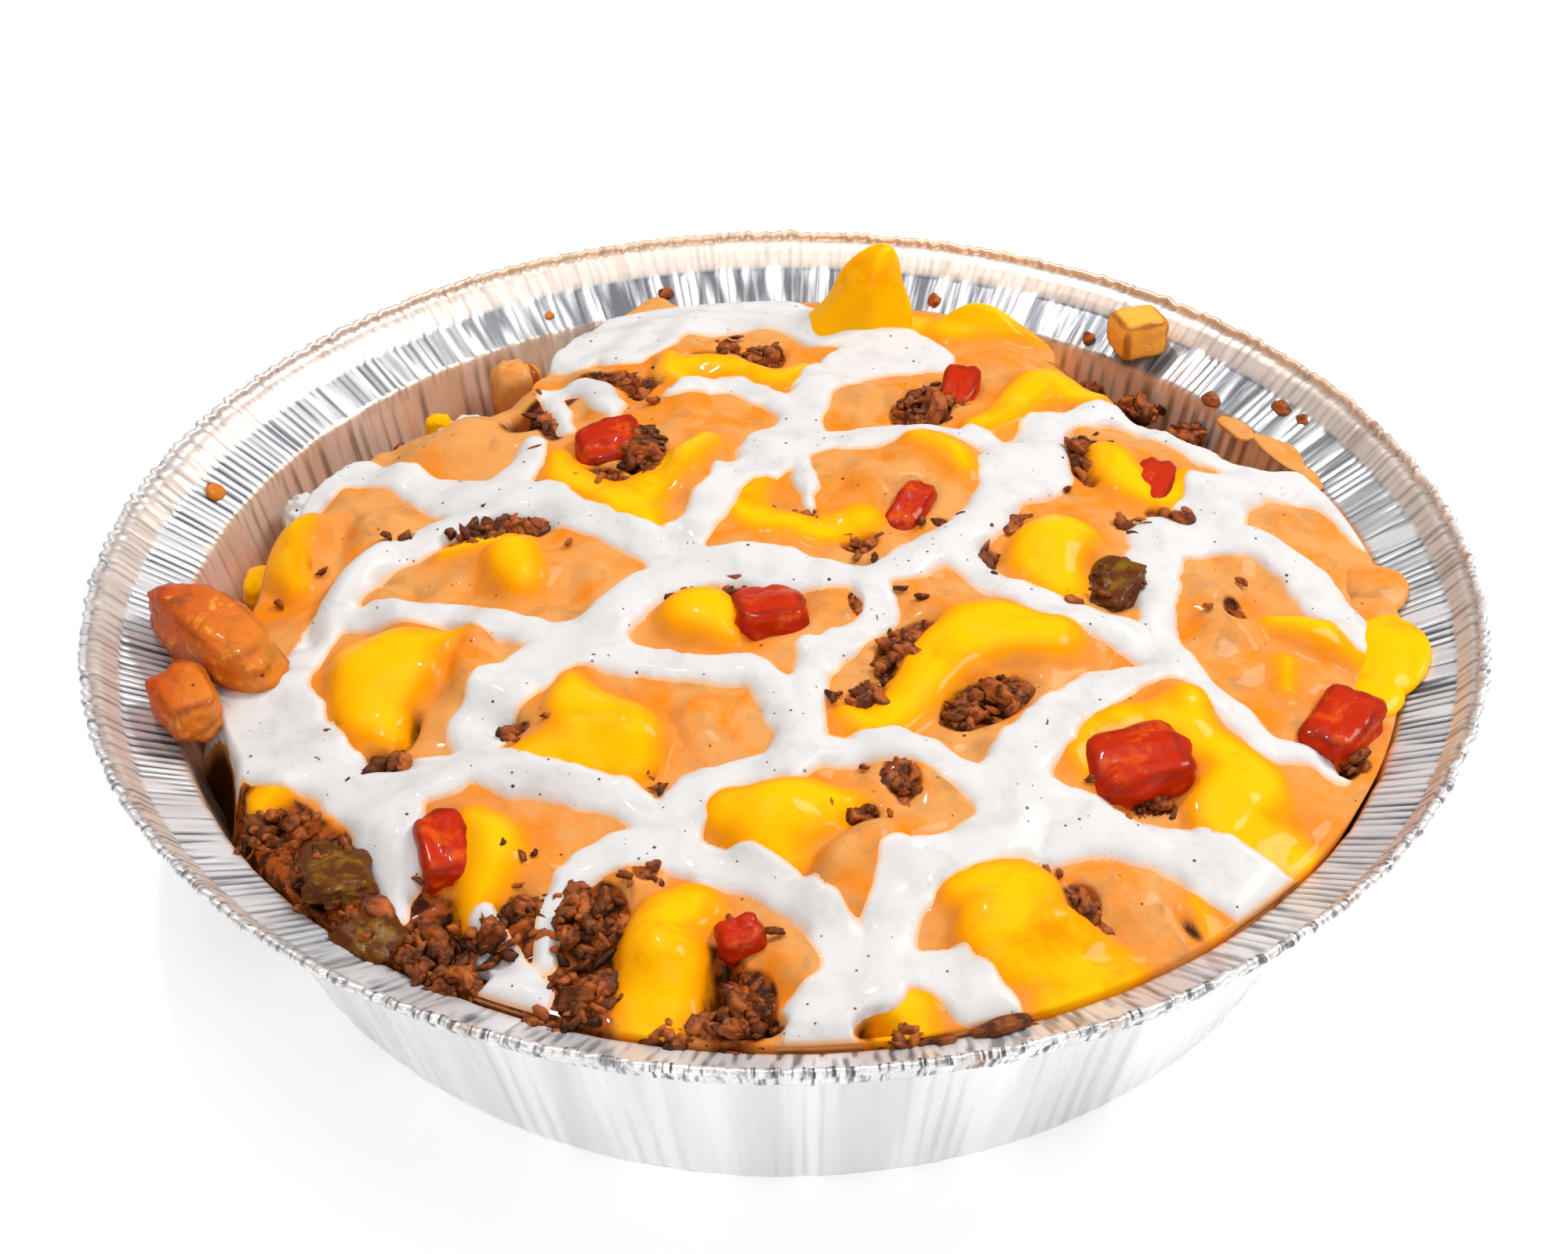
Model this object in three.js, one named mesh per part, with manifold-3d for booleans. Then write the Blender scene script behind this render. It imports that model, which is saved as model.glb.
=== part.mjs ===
// Loaded french fries heaped in a round foil takeaway pan. Millimetres, +Z up.
// The origin is the middle of the pan's flat underside, and -Y is the front.
import * as THREE from 'three';
import { mergeVertices } from 'three/addons/utils/BufferGeometryUtils.js';
import Module from 'manifold-3d';

const wasm = await Module();
wasm.setup();

// Foil pan. The wall leans out from the base to a lip, a ledge runs out from the lip,
// and the flange stands up from the ledge and leans out most at the back.
const BASE_RADIUS = 92;
const BASE_CORNER = 3;
const LIP_RADIUS = 102.8;
const LIP_HEIGHT = 39.5;
const LEDGE_RADIUS = 110.9;
const LEDGE_HEIGHT = 43.3;
const RIM_HEIGHT = 47.6;
const RIM_LEAN = 4.1;
const RIM_LEAN_BACK = 1.9;
const RIM_LEAN_LEFT = 0.5;
const FOIL = 0.6;
const BEAD = 1.1;
const PLEATS = 48;
const WALL_PLEAT = 0.45;
const LEDGE_PLEAT = 0.2;
const LIP_FOLD = 1.2;
const FLANGE_LEAN = 0.8;

// Food. The heap is a low dome inside the lip. It stops short of the wall where the
// edge radius below is small, and falls to the trough height there.
const DOME_TOP = 52;
const DOME_DROP = 12.5;
const DOME_RADIUS = 101;
const WALL_FILL = 38;
const TROUGH_DEPTH = 22;
const TROUGH_SPAN = 14;
const WALL_SIDE = 99;
const FALL_POWER = 0.9;
const FOOD_FLOOR = 1;
const CLEARANCE = 0.4;
const LEDGE_CLEARANCE = 0.5;
const SOCKET_GAP = 0.4;
const LIP_ROUND = 0.5;
const LEDGE_MARGIN = 1.3;
const ROOM_SIDES = 72;
const CEILING = 120;
const LUMP_HEIGHT = 0.5;
const LUMP_PITCH = [8, 9, 13];
const LUMP_FADE = 15;
const FACET_TOLERANCE = 0.35;
const TOP_RADIUS = 105.6;
const TOP_RINGS = 27;

// Edge radius of the heap round the pan, as azimuth in degrees and radius.
const HEAP_EDGE = [
  [0, 102], [15, 102], [21, 100], [25, 86], [30, 82], [38, 80], [46, 81], [52, 84],
  [58, 96], [64, 102], [104, 102], [110, 99], [114, 95], [119, 88], [124, 82], [130, 75],
  [136, 75], [142, 77], [148, 81], [154, 86], [162, 89], [170, 90], [180, 89], [190, 93],
  [197, 96], [205, 95], [211, 97], [217, 100], [225, 102], [340, 102], [360, 102],
];

// Ranch drizzle. Each strand is a run of [x, y, half width] through which it flows.
const DRIZZLE_HEIGHT = 3;
const DRIZZLE_SOFT = 0.6;
const DRIZZLE_SHOULDER = 2;
const DRIZZLE_STEP = 3;
const DRIZZLE = [
  [[-73, 36, 3], [-56, 22, 5], [-44, 18, 5], [-30, 6, 3.5], [-17, -6, 5]],
  [[-58, 15, 4], [-68, 2, 3.5], [-77, -18, 3.5]],
  [[-74, -9, 3], [-55, -13, 3.5], [-33, -24, 5]],
  [[-17, -6, 4.5], [-26, -17, 4.5], [-38, -27, 5], [-49, -48, 4.5]],
  [[-34, -24, 4], [-15, -30, 3.5], [-3, -34, 3.5], [1, -45, 3.5], [0, -52, 4]],
  [[-88, -28, 5], [-80, -40, 6.5], [-62, -51, 6], [-48, -50, 4], [-30, -56, 3.5], [-18, -66, 3.5]],
  [[-61, -52, 7], [-59, -62, 5], [-57, -75, 2]],
  [[-27, -68, 4], [-18, -66, 4], [-12, -55, 3.5], [8, -50, 3], [22, -51, 3], [34, -62, 6]],
  [[-18, -67, 3.5], [-3, -74, 3.5], [12, -92, 4]],
  [[-17, -6, 4.5], [0, -6, 4.5], [18, -7, 4], [31, 4, 4.5], [42, 24, 7]],
  [[-17, -4, 3.5], [-12, 14, 3.5], [-2, 29, 6], [5, 52, 4], [14, 66, 7], [24, 74, 7]],
  [[-20, 50, 2.5], [-10, 54, 3], [2, 42, 4]],
  [[-2, 31, 4], [14, 34, 3.5], [30, 37, 3], [40, 29, 5]],
  [[42, 28, 6], [48, 42, 4], [60, 49, 3], [74, 38, 3.5], [88, 33, 5], [97, 26, 4]],
  [[60, 4, 5], [74, 14, 6], [82, 30, 4]],
  [[70, 10, 4.5], [84, 4, 4.5], [93, -12, 4]],
  [[61, 5, 4.5], [61, -10, 3.5], [60, -27, 3.5], [46, -36, 4.5], [35, -54, 6]],
  [[30, -5, 3.5], [42, -13, 3.5], [60, -26, 3.5]],
  [[62, -28, 2.5], [71, -40, 2.5], [84, -44, 2.5]],
  [[12, -8, 3], [14, -20, 3], [4, -30, 3], [3, -44, 3]],
  [[36, -62, 7], [52, -64, 4.5], [72, -75, 6]],
  [[32, -66, 4], [17, -75, 4.5], [13, -90, 5], [4, -97, 4.5]],
  [[14, -90, 4], [27, -96, 3.5]],
  [[-42, 84, 4], [-24, 89, 8], [-4, 91, 9], [12, 82, 5], [25, 78, 5]],
  [[-44, 72, 4], [-30, 78, 7], [-20, 86, 6]],
  [[-48, 24, 3.5], [-45, 35, 3]],
  [[-41, -83, 2.5], [-38, -95, 3]],
  [[-45, 60, 2.5], [-36, 56, 3], [-31, 44, 2]],
];

// Cheese and orange sauce standing in thick lumps on the heap:
// [x, y, half length, half width, height, turn in degrees].
const LUMPS = [
  [39, 87, 13, 12, 8, 0],
  [-12, 64, 16, 8, 3.5, -25],
  [-20, 52, 7, 12, 3, 10],
  [20, 24, 10, 17, 3, -30],
  [-14, 26, 9, 19, 3, -15],
  [30, -22, 19, 11, 3, -20],
  [-62, -28, 12, 13, 3.5, 0],
  [-28, -44, 17, 9, 3, -10],
  [0, -63, 16, 10, 3, -5],
  [-18, -87, 8, 16, 3.5, 8],
  [34, -82, 18, 11, 3, -20],
  [67, -58, 16, 11, 3, -35],
  [46, 0, 10, 12, 3, 10],
  [-82, 10, 7, 15, 4, 10],
  [-60, 40, 13, 10, 3.5, 30],
];

// Lumps that run over the lip onto the ledge: [x, y, half length, half width, half height].
const LEDGE_LUMP = { squareness: 2.2, rough: 0.08, seed: 300, rise: 1 };
const LEDGE_LUMPS = [
  [99, 3, 6.5, 6, 4.5],
  [98, -12, 7, 12, 4.5],
];
const PEAK = { x: 14.5, y: 86, base: 10, height: 19, leanX: 4.5, leanY: 0, sides: 14, root: 6 };
// The peak's rings, as shares of its height and of its base.
const PEAK_RINGS = [[0, 1], [0.3, 0.8], [0.62, 0.56], [0.9, 0.28]];

// Fries that show in the troughs beside the heap: one run of fries per trough.
const FRY_SIDE = 7;
const FRY_STEPS = 2;
const FRY_CHAMFER = 0.28;
const FRY_BOW = 3;
const FRY_SCATTER = 1.3;
const FRY_SUNK = 0.3;
const FRY_SHORTEST = 0.35;
const FRY_SPREAD = 0.2;
const TROUGH_SEEDS = 50;
const FRY_SEEDS = 3;
const TROUGH_FRIES = [
  { from: 128, to: 172, count: 9, out: 7, length: 46 },
  { from: 30, to: 50, count: 3, out: 8, length: 40 },
];
const LEANING_FRY = { foot: [-54, 73, 20], tip: [-50, 81, 39] };

// Toppings that sit half sunk in the heap:
// [name, x, y, rise of the middle, [length, width, height], turn, squareness].
const TOMATO = { colour: 0xb92a16, roughness: 0.3, rough: 0.1 };
const PEPPER = { colour: 0x6b5a1a, roughness: 0.4, rough: 0.12 };
const BEEF = { colour: 0x6e3417, roughness: 0.6, rough: 0.22 };
const POTATO = { colour: 0xd06a16, roughness: 0.5, rough: 0.07 };
const TOPPINGS = [
  ['tomato_1', TOMATO, -31, 34, 0.2, [12, 10, 7], 20, 4],
  ['tomato_2', TOMATO, -3, -18, 0.2, [12, 12, 8], 10, 4],
  ['tomato_3', TOMATO, 53, -51, 0.7, [16, 13, 9], 15, 4],
  ['tomato_4', TOMATO, 87, -36, 0.7, [10, 15, 8], -35, 4],
  ['tomato_5', TOMATO, -51, -66, 0.2, [8, 13, 8], 15, 4],
  ['tomato_6', TOMATO, 64, 25, -0.3, [7, 14, 6], -20, 4],
  ['tomato_7', TOMATO, 21, 11, -0.3, [6, 12, 6], -25, 4],
  ['tomato_8', TOMATO, 32, 56, -0.3, [7, 13, 6], -15, 4],
  ['tomato_9', TOMATO, -7, -84, 0.2, [7, 6, 6], 10, 4],
  ['pepper_1', PEPPER, 53, -8, 0.2, [9, 12, 6], -30, 5],
  ['pepper_2', PEPPER, -67, -67, 0.2, [10, 15, 7], 15, 5],
  ['pepper_3', PEPPER, -60, -80, -0.3, [8, 10, 6], 50, 5],
  ['beef_1', BEEF, -25, 30, -0.2, [8, 18, 8], 10, 2.6],
  ['beef_2', BEEF, -33, 23, -1.2, [9, 9, 7], 40, 2.6],
  ['beef_3', BEEF, 25, 47, -0.7, [10, 18, 8], -30, 2.6],
  ['beef_4', BEEF, 53, 32, -1.2, [7, 18, 7], 5, 2.6],
  ['beef_5', BEEF, -48, 8, -0.7, [18, 9, 7], 15, 2.6],
  ['beef_6', BEEF, 19, -27, -0.7, [9, 16, 8], -30, 2.6],
  ['beef_7', BEEF, 31, -38, -0.7, [18, 9, 7], 35, 2.6],
  ['beef_8', BEEF, -29, -79, -0.7, [13, 13, 9], 0, 2.6],
  ['beef_9', BEEF, -29, -92, -1.2, [12, 12, 8], 30, 2.6],
  ['beef_10', BEEF, -6, -95, -1.2, [9, 13, 8], -10, 2.6],
  ['beef_11', BEEF, -77, -57, -1.2, [11, 11, 8], 30, 2.6],
  ['beef_12', BEEF, -52, -84, -1.2, [12, 11, 8], 10, 2.6],
  ['beef_13', BEEF, -44, -80, -1.2, [8, 10, 7], 60, 2.6],
  ['beef_14', BEEF, -4, 70, -1.2, [8, 12, 6], 5, 2.6],
];

// Browned potato lying on the ledge: [name, middle, [length, width, height], turn].
const POTATO_SQUARENESS = 3.4;
const POTATO_SEED = 60;
const POTATO_PIECES = [
  ['potato_wedge_1', [-93, -15.5, 46.3], [31, 12.5, 10], -47],
  ['potato_wedge_2', [-95.5, -31, 44.8], [15, 10, 8.5], -60],
  ['potato_cube', [68, 79.6, 45.6], [10, 9, 8], 20],
];

function radians(degrees) {
  return degrees * Math.PI / 180;
}

function clamp01(value) {
  return Math.min(1, Math.max(0, value));
}

function ease(value) {
  const t = clamp01(value);
  return t * t * (3 - 2 * t);
}

// A repeatable number from 0 to 1 for each whole number.
function draw(index) {
  const wave = Math.sin(index * 127.1 + 311.7) * 43758.5453;
  return wave - Math.floor(wave);
}

function geometryOf(vertices, triangles) {
  const geometry = new THREE.BufferGeometry();
  geometry.setAttribute('position', new THREE.Float32BufferAttribute(vertices, 3));
  geometry.setIndex(triangles);
  return geometry;
}

function solidOf(source) {
  const bare = source.clone();
  bare.deleteAttribute('normal');
  bare.deleteAttribute('uv');
  const merged = mergeVertices(bare, 1e-4);
  return new wasm.Manifold(new wasm.Mesh({
    numProp: 3,
    vertProperties: new Float32Array(merged.attributes.position.array),
    triVerts: new Uint32Array(merged.index.array),
  }));
}

function geometryFrom(solid) {
  const mesh = solid.getMesh();
  const count = mesh.vertProperties.length / mesh.numProp;
  const vertices = [];
  for (let i = 0; i < count; i += 1) {
    const at = i * mesh.numProp;
    vertices.push(...mesh.vertProperties.slice(at, at + 3));
  }
  return geometryOf(vertices, Array.from(mesh.triVerts));
}

// The largest connected skin of a solid, without loose scraps or sealed hollows, and
// with facets that lie within a tolerance of each other joined.
function mainBody(solid) {
  const pieces = solidOf(geometryFrom(solid.simplify(FACET_TOLERANCE))).decompose();
  return pieces.reduce((best, piece) => (piece.volume() > best.volume() ? piece : best));
}

// Rings of equal length joined into one closed skin. Rings run anticlockwise seen from
// above, and come in order from the bottom pole to the top pole.
function skinOf(rings, bottomPole, topPole) {
  const sides = rings[0].length;
  const vertices = [...bottomPole];
  for (const ring of rings) {
    for (const point of ring) {
      vertices.push(...point);
    }
  }
  vertices.push(...topPole);
  const triangles = [];
  const top = 1 + rings.length * sides;
  for (let j = 0; j < sides; j += 1) {
    const next = (j + 1) % sides;
    triangles.push(0, 1 + next, 1 + j);
    for (let i = 0; i + 1 < rings.length; i += 1) {
      const low = 1 + i * sides;
      const high = low + sides;
      triangles.push(low + j, low + next, high + next);
      triangles.push(low + j, high + next, high + j);
    }
    const last = top - sides;
    triangles.push(last + j, last + next, top);
  }
  return geometryOf(vertices, triangles);
}

// The foil as one skin: up the outside from the middle of the underside to the bead,
// and back down the inside to the middle of the floor.
function makePan() {
  const steps = PLEATS * 2;
  const profile = [
    { r: BASE_RADIUS - BASE_CORNER, z: 0, pleat: 0, lean: 0 },
    { r: BASE_RADIUS, z: BASE_CORNER, pleat: WALL_PLEAT, lean: 0 },
    { r: LIP_RADIUS, z: LIP_HEIGHT - LIP_FOLD, pleat: WALL_PLEAT, lean: 0 },
    { r: LEDGE_RADIUS + FOIL, z: LEDGE_HEIGHT - FOIL, ripple: LEDGE_PLEAT, lean: 0 },
    { r: LEDGE_RADIUS + FOIL, z: RIM_HEIGHT - BEAD, pleat: WALL_PLEAT, lean: FLANGE_LEAN },
    { r: LEDGE_RADIUS + BEAD, z: RIM_HEIGHT - BEAD / 2, pleat: 0, lean: 1 },
    { r: LEDGE_RADIUS, z: RIM_HEIGHT, pleat: 0, lean: 1 },
    { r: LEDGE_RADIUS - FOIL, z: RIM_HEIGHT - BEAD, pleat: WALL_PLEAT, lean: FLANGE_LEAN },
    { r: LEDGE_RADIUS - FOIL / 2, z: LEDGE_HEIGHT, ripple: LEDGE_PLEAT, lean: 0 },
    { r: LIP_RADIUS, z: LIP_HEIGHT, ripple: LEDGE_PLEAT, lean: 0 },
    { r: LIP_RADIUS - FOIL, z: LIP_HEIGHT - LIP_FOLD, pleat: WALL_PLEAT, lean: 0 },
    { r: BASE_RADIUS - FOIL, z: BASE_CORNER, pleat: WALL_PLEAT, lean: 0 },
    { r: BASE_RADIUS - BASE_CORNER - FOIL, z: FOIL, pleat: 0, lean: 0 },
  ];
  const rings = profile.map((stop) => {
    const ring = [];
    for (let j = 0; j < steps; j += 1) {
      const turn = (j / steps) * Math.PI * 2;
      const fold = j % 2 === 0 ? 1 : -1;
      const lean = RIM_LEAN + RIM_LEAN_BACK * Math.sin(turn) - RIM_LEAN_LEFT * Math.cos(turn);
      const r = stop.r + fold * (stop.pleat ?? 0) + stop.lean * lean;
      const z = stop.z + fold * (stop.ripple ?? 0);
      ring.push([r * Math.cos(turn), r * Math.sin(turn), z]);
    }
    return ring;
  });
  return skinOf(rings, [0, 0, 0], [0, 0, FOIL]);
}

// The room inside the pan, with a clearance from the foil, open to well above the food.
function makeRoom() {
  const lip = LIP_RADIUS - CLEARANCE - FOIL - WALL_PLEAT;
  const foot = BASE_RADIUS - BASE_CORNER - CLEARANCE;
  const profile = [
    [foot, FOOD_FLOOR],
    [BASE_RADIUS - FOIL - CLEARANCE - WALL_PLEAT, FOOD_FLOOR + BASE_CORNER],
    [lip, LIP_HEIGHT - LIP_FOLD],
    [lip + LIP_ROUND, LIP_HEIGHT + LEDGE_CLEARANCE],
    [LEDGE_RADIUS - LEDGE_MARGIN, LEDGE_HEIGHT + LEDGE_CLEARANCE],
    [LEDGE_RADIUS - LEDGE_MARGIN, CEILING],
  ];
  const rings = profile.map(([r, z]) => {
    const ring = [];
    for (let j = 0; j < ROOM_SIDES; j += 1) {
      const turn = (j / ROOM_SIDES) * Math.PI * 2;
      ring.push([r * Math.cos(turn), r * Math.sin(turn), z]);
    }
    return ring;
  });
  return solidOf(skinOf(rings, [0, 0, FOOD_FLOOR], [0, 0, CEILING]));
}

function edgeRadius(azimuth) {
  const a = ((azimuth % 360) + 360) % 360;
  const i = HEAP_EDGE.findIndex(([angle]) => angle > a);
  const [a0, r0] = HEAP_EDGE[i - 1];
  const [a1, r1] = HEAP_EDGE[i];
  return r0 + (r1 - r0) * ease((a - a0) / (a1 - a0));
}

// Height of the heap: a dome, low lumps, and the fall into a trough past the edge.
function heapTop(x, y) {
  const r = Math.hypot(x, y);
  const edge = edgeRadius(Math.atan2(y, x) * 180 / Math.PI);
  const domeAt = (radius) => DOME_TOP - DOME_DROP * (radius / DOME_RADIUS) ** 2;
  const [pitchX, pitchY, pitchAcross] = LUMP_PITCH;
  const waves = Math.sin(x / pitchX + 1) * Math.cos(y / pitchY) + Math.sin((x + y) / pitchAcross);
  const lumps = LUMP_HEIGHT * waves * clamp01((DOME_RADIUS - r) / LUMP_FADE);
  if (r <= edge) {
    return domeAt(r) + lumps;
  }
  const trough = WALL_FILL - TROUGH_DEPTH * clamp01((DOME_RADIUS - edge) / TROUGH_SPAN);
  const fall = clamp01((r - edge) / Math.max(WALL_SIDE - edge, 2)) ** FALL_POWER;
  return domeAt(edge) + (trough - domeAt(edge)) * fall + lumps;
}

// The drizzle's runs as smooth curves, sampled as middles with a half width.
const strands = DRIZZLE.map((run) => {
  const stops = run.map(([x, y, half]) => new THREE.Vector3(x, y, half));
  const curve = new THREE.CatmullRomCurve3(stops, false, 'centripetal');
  return curve.getSpacedPoints(Math.ceil(curve.getLength() / DRIZZLE_STEP));
});

// How far a place lies inside the nearest strand, and below zero outside all of them.
function drizzleInset(x, y) {
  let inset = -DOME_RADIUS;
  for (const strand of strands) {
    for (const middle of strand) {
      inset = Math.max(inset, middle.z - Math.hypot(x - middle.x, y - middle.y));
    }
  }
  return inset;
}

// How much of a lump's height stands over a place: full in its middle, none at its edge.
function lumpRise(x, y) {
  let rise = 0;
  for (const [midX, midY, length, width, height, turn] of LUMPS) {
    const c = Math.cos(radians(turn));
    const s = Math.sin(radians(turn));
    const along = ((x - midX) * c + (y - midY) * s) / length;
    const across = ((y - midY) * c - (x - midX) * s) / width;
    rise = Math.max(rise, height * ease(1 - Math.hypot(along, across)));
  }
  return rise;
}

// The heap with its lumps of sauce and the drizzle on it.
function saucedTop(x, y) {
  const drizzle = DRIZZLE_HEIGHT * ease((drizzleInset(x, y) + DRIZZLE_SOFT) / DRIZZLE_SHOULDER);
  return heapTop(x, y) + Math.max(drizzle, lumpRise(x, y));
}

// The heap's body. Its top is a disc of rings, six more corners on each than on the last,
// so that its facets are all of one size.
function makeCore() {
  const vertices = [0, 0, saucedTop(0, 0)];
  const triangles = [];
  const firstOf = (ring) => (ring === 0 ? 0 : 1 + 3 * ring * (ring - 1));
  const at = (ring, j) => (ring === 0 ? 0 : firstOf(ring) + (j % (6 * ring)));
  for (let ring = 1; ring <= TOP_RINGS; ring += 1) {
    const r = ring * TOP_RADIUS / TOP_RINGS;
    for (let j = 0; j < 6 * ring; j += 1) {
      const turn = j * Math.PI / (3 * ring);
      const x = r * Math.cos(turn);
      const y = r * Math.sin(turn);
      vertices.push(x, y, saucedTop(x, y));
    }
    for (let sector = 0; sector < 6; sector += 1) {
      for (let k = 0; k < ring; k += 1) {
        const outer = sector * ring + k;
        const inner = sector * (ring - 1) + k;
        triangles.push(at(ring, outer), at(ring, outer + 1), at(ring - 1, inner));
        if (k + 1 < ring) {
          triangles.push(at(ring, outer + 1), at(ring - 1, inner + 1), at(ring - 1, inner));
        }
      }
    }
  }
  const sides = 6 * TOP_RINGS;
  const rim = firstOf(TOP_RINGS);
  const foot = rim + sides;
  for (let j = 0; j < sides; j += 1) {
    const turn = j * Math.PI * 2 / sides;
    vertices.push(TOP_RADIUS * Math.cos(turn), TOP_RADIUS * Math.sin(turn), 0);
  }
  vertices.push(0, 0, 0);
  const middle = foot + sides;
  for (let j = 0; j < sides; j += 1) {
    const next = (j + 1) % sides;
    triangles.push(foot + j, foot + next, rim + next);
    triangles.push(foot + j, rim + next, rim + j);
    triangles.push(middle, foot + next, foot + j);
  }
  return solidOf(geometryOf(vertices, triangles));
}

const CHUNK_SEEDS = 97;

// A rounded block whose faces are uneven: squareness 2 is an egg, 4 and more a block.
function chunkGeometry(size, squareness, rough, seed, grow) {
  const ball = new THREE.IcosahedronGeometry(1, 1);
  ball.deleteAttribute('normal');
  ball.deleteAttribute('uv');
  const geometry = mergeVertices(ball, 1e-4);
  const position = geometry.attributes.position;
  for (let i = 0; i < position.count; i += 1) {
    const p = new THREE.Vector3().fromBufferAttribute(position, i);
    const powers = [p.x, p.y, p.z].map((value) => Math.abs(value) ** squareness);
    const reach = (powers[0] + powers[1] + powers[2]) ** (-1 / squareness);
    const uneven = 1 + rough * (draw(seed * CHUNK_SEEDS + i) - 0.5);
    position.setXYZ(
      i,
      p.x * reach * uneven * (size[0] / 2 + grow),
      p.y * reach * uneven * (size[1] / 2 + grow),
      p.z * reach * uneven * (size[2] / 2 + grow),
    );
  }
  return geometry;
}

// A length of potato with cut corners and a slight bow, from one point to another.
function makeFry(from, to, side, bow, roll) {
  const start = new THREE.Vector3(...from);
  const end = new THREE.Vector3(...to);
  const along = end.clone().sub(start).normalize();
  const across = new THREE.Vector3(0, 0, 1).cross(along).normalize();
  const up = along.clone().cross(across);
  const half = side / 2;
  const cut = half - side * FRY_CHAMFER;
  const corners = [
    [half, -cut], [half, cut], [cut, half], [-cut, half],
    [-half, cut], [-half, -cut], [-cut, -half], [cut, -half],
  ];
  const rings = [];
  for (let i = 0; i <= FRY_STEPS; i += 1) {
    const t = i / FRY_STEPS;
    const middle = start.clone().lerp(end, t);
    middle.addScaledVector(across, bow * Math.sin(Math.PI * t));
    rings.push(corners.map(([u, v]) => {
      const c = Math.cos(roll);
      const s = Math.sin(roll);
      const point = middle.clone();
      point.addScaledVector(across, u * c - v * s);
      point.addScaledVector(up, u * s + v * c);
      return [point.x, point.y, point.z];
    }));
  }
  return solidOf(skinOf(rings, start.toArray(), end.toArray()));
}

function makeTroughFries() {
  const fries = [];
  TROUGH_FRIES.forEach((trough, k) => {
    for (let i = 0; i < trough.count; i += 1) {
      const seed = k * TROUGH_SEEDS + i * FRY_SEEDS;
      const azimuth = trough.from + (trough.to - trough.from) * (i + 0.5) / trough.count;
      const turn = radians(azimuth);
      const r = edgeRadius(azimuth) + trough.out * (0.5 + draw(seed));
      const lie = turn + Math.PI / 2 + (draw(seed + 1) - 0.5) * FRY_SCATTER;
      const half = trough.length * (FRY_SHORTEST + FRY_SPREAD * draw(seed + 2));
      const ends = [-1, 1].map((sign) => {
        const x = r * Math.cos(turn) + sign * half * Math.cos(lie);
        const y = r * Math.sin(turn) + sign * half * Math.sin(lie);
        const z = heapTop(x, y) - FRY_SIDE * FRY_SUNK;
        return [x, y, z];
      });
      fries.push(makeFry(ends[0], ends[1], FRY_SIDE, FRY_BOW * (draw(seed + 3) - 0.5), draw(seed)));
    }
  });
  fries.push(makeFry(LEANING_FRY.foot, LEANING_FRY.tip, FRY_SIDE, 0, 0.3));
  return fries;
}

function makeLedgeLump([x, y, length, width, height], index) {
  const { squareness, rough, seed, rise } = LEDGE_LUMP;
  const shape = chunkGeometry([length * 2, width * 2, height * 2], squareness, rough, index + seed, 0);
  shape.translate(x, y, heapTop(x, y) + rise);
  return solidOf(shape);
}

// The peak where cheese was pulled up off a fry end.
function makePeak() {
  const rings = [];
  const foot = heapTop(PEAK.x, PEAK.y);
  for (const [level, share] of [[-PEAK.root / PEAK.height, 1], ...PEAK_RINGS]) {
    const ring = [];
    const lean = Math.max(level, 0);
    for (let j = 0; j < PEAK.sides; j += 1) {
      const turn = (j / PEAK.sides) * Math.PI * 2;
      ring.push([
        PEAK.x + PEAK.leanX * lean + PEAK.base * share * Math.cos(turn),
        PEAK.y + PEAK.leanY * lean + PEAK.base * share * Math.sin(turn),
        foot + level * PEAK.height,
      ]);
    }
    rings.push(ring);
  }
  const tip = [PEAK.x + PEAK.leanX, PEAK.y + PEAK.leanY, foot + PEAK.height];
  return solidOf(skinOf(rings, [PEAK.x, PEAK.y, foot - PEAK.root], tip));
}

function chunkAt(size, kind, squareness, seed, place, turn, grow) {
  const shape = chunkGeometry(size, squareness, kind.rough, seed, grow);
  shape.rotateZ(radians(turn));
  shape.translate(...place);
  return solidOf(shape);
}

function addMesh(group, name, geometry, colour, roughness, metalness) {
  const material = new THREE.MeshStandardMaterial({ color: colour, roughness, metalness });
  const mesh = new THREE.Mesh(geometry, material);
  mesh.name = name;
  group.add(mesh);
}

const dish = new THREE.Group();
const food = new THREE.Group();
dish.add(food);
addMesh(dish, 'foil_pan', makePan(), 0xc9c9cb, 0.35, 1);

const room = makeRoom();
let heap = makeCore();
for (const fry of makeTroughFries()) {
  heap = heap.add(fry);
}
LEDGE_LUMPS.forEach((lump, index) => {
  heap = heap.add(makeLedgeLump(lump, index));
});
heap = heap.add(makePeak());

// Each topping is cut clear of the ones before it, and leaves its socket in the heap.
const sockets = [];
function settle(name, kind, size, squareness, place, turn, seed) {
  let topping = chunkAt(size, kind, squareness, seed, place, turn, 0).intersect(room);
  for (const socket of sockets) {
    topping = topping.subtract(socket);
  }
  const socket = chunkAt(size, kind, squareness, seed, place, turn, SOCKET_GAP);
  sockets.push(socket);
  heap = heap.subtract(socket);
  addMesh(food, name, geometryFrom(mainBody(topping)), kind.colour, kind.roughness, 0);
}

POTATO_PIECES.forEach(([name, place, size, turn], index) => {
  settle(name, POTATO, size, POTATO_SQUARENESS, place, turn, index + POTATO_SEED);
});
TOPPINGS.forEach(([name, kind, x, y, rise, size, turn, squareness], seed) => {
  settle(name, kind, size, squareness, [x, y, heapTop(x, y) + rise], turn, seed);
});

addMesh(food, 'loaded_fries', geometryFrom(mainBody(heap.intersect(room))), 0xf0a437, 0.35, 0);

export default dish;
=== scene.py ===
"""Loaded french fries heaped in a round foil takeaway pan: the looks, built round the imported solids."""
import math

import bpy
import numpy as np
from mathutils import Matrix, Vector


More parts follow.
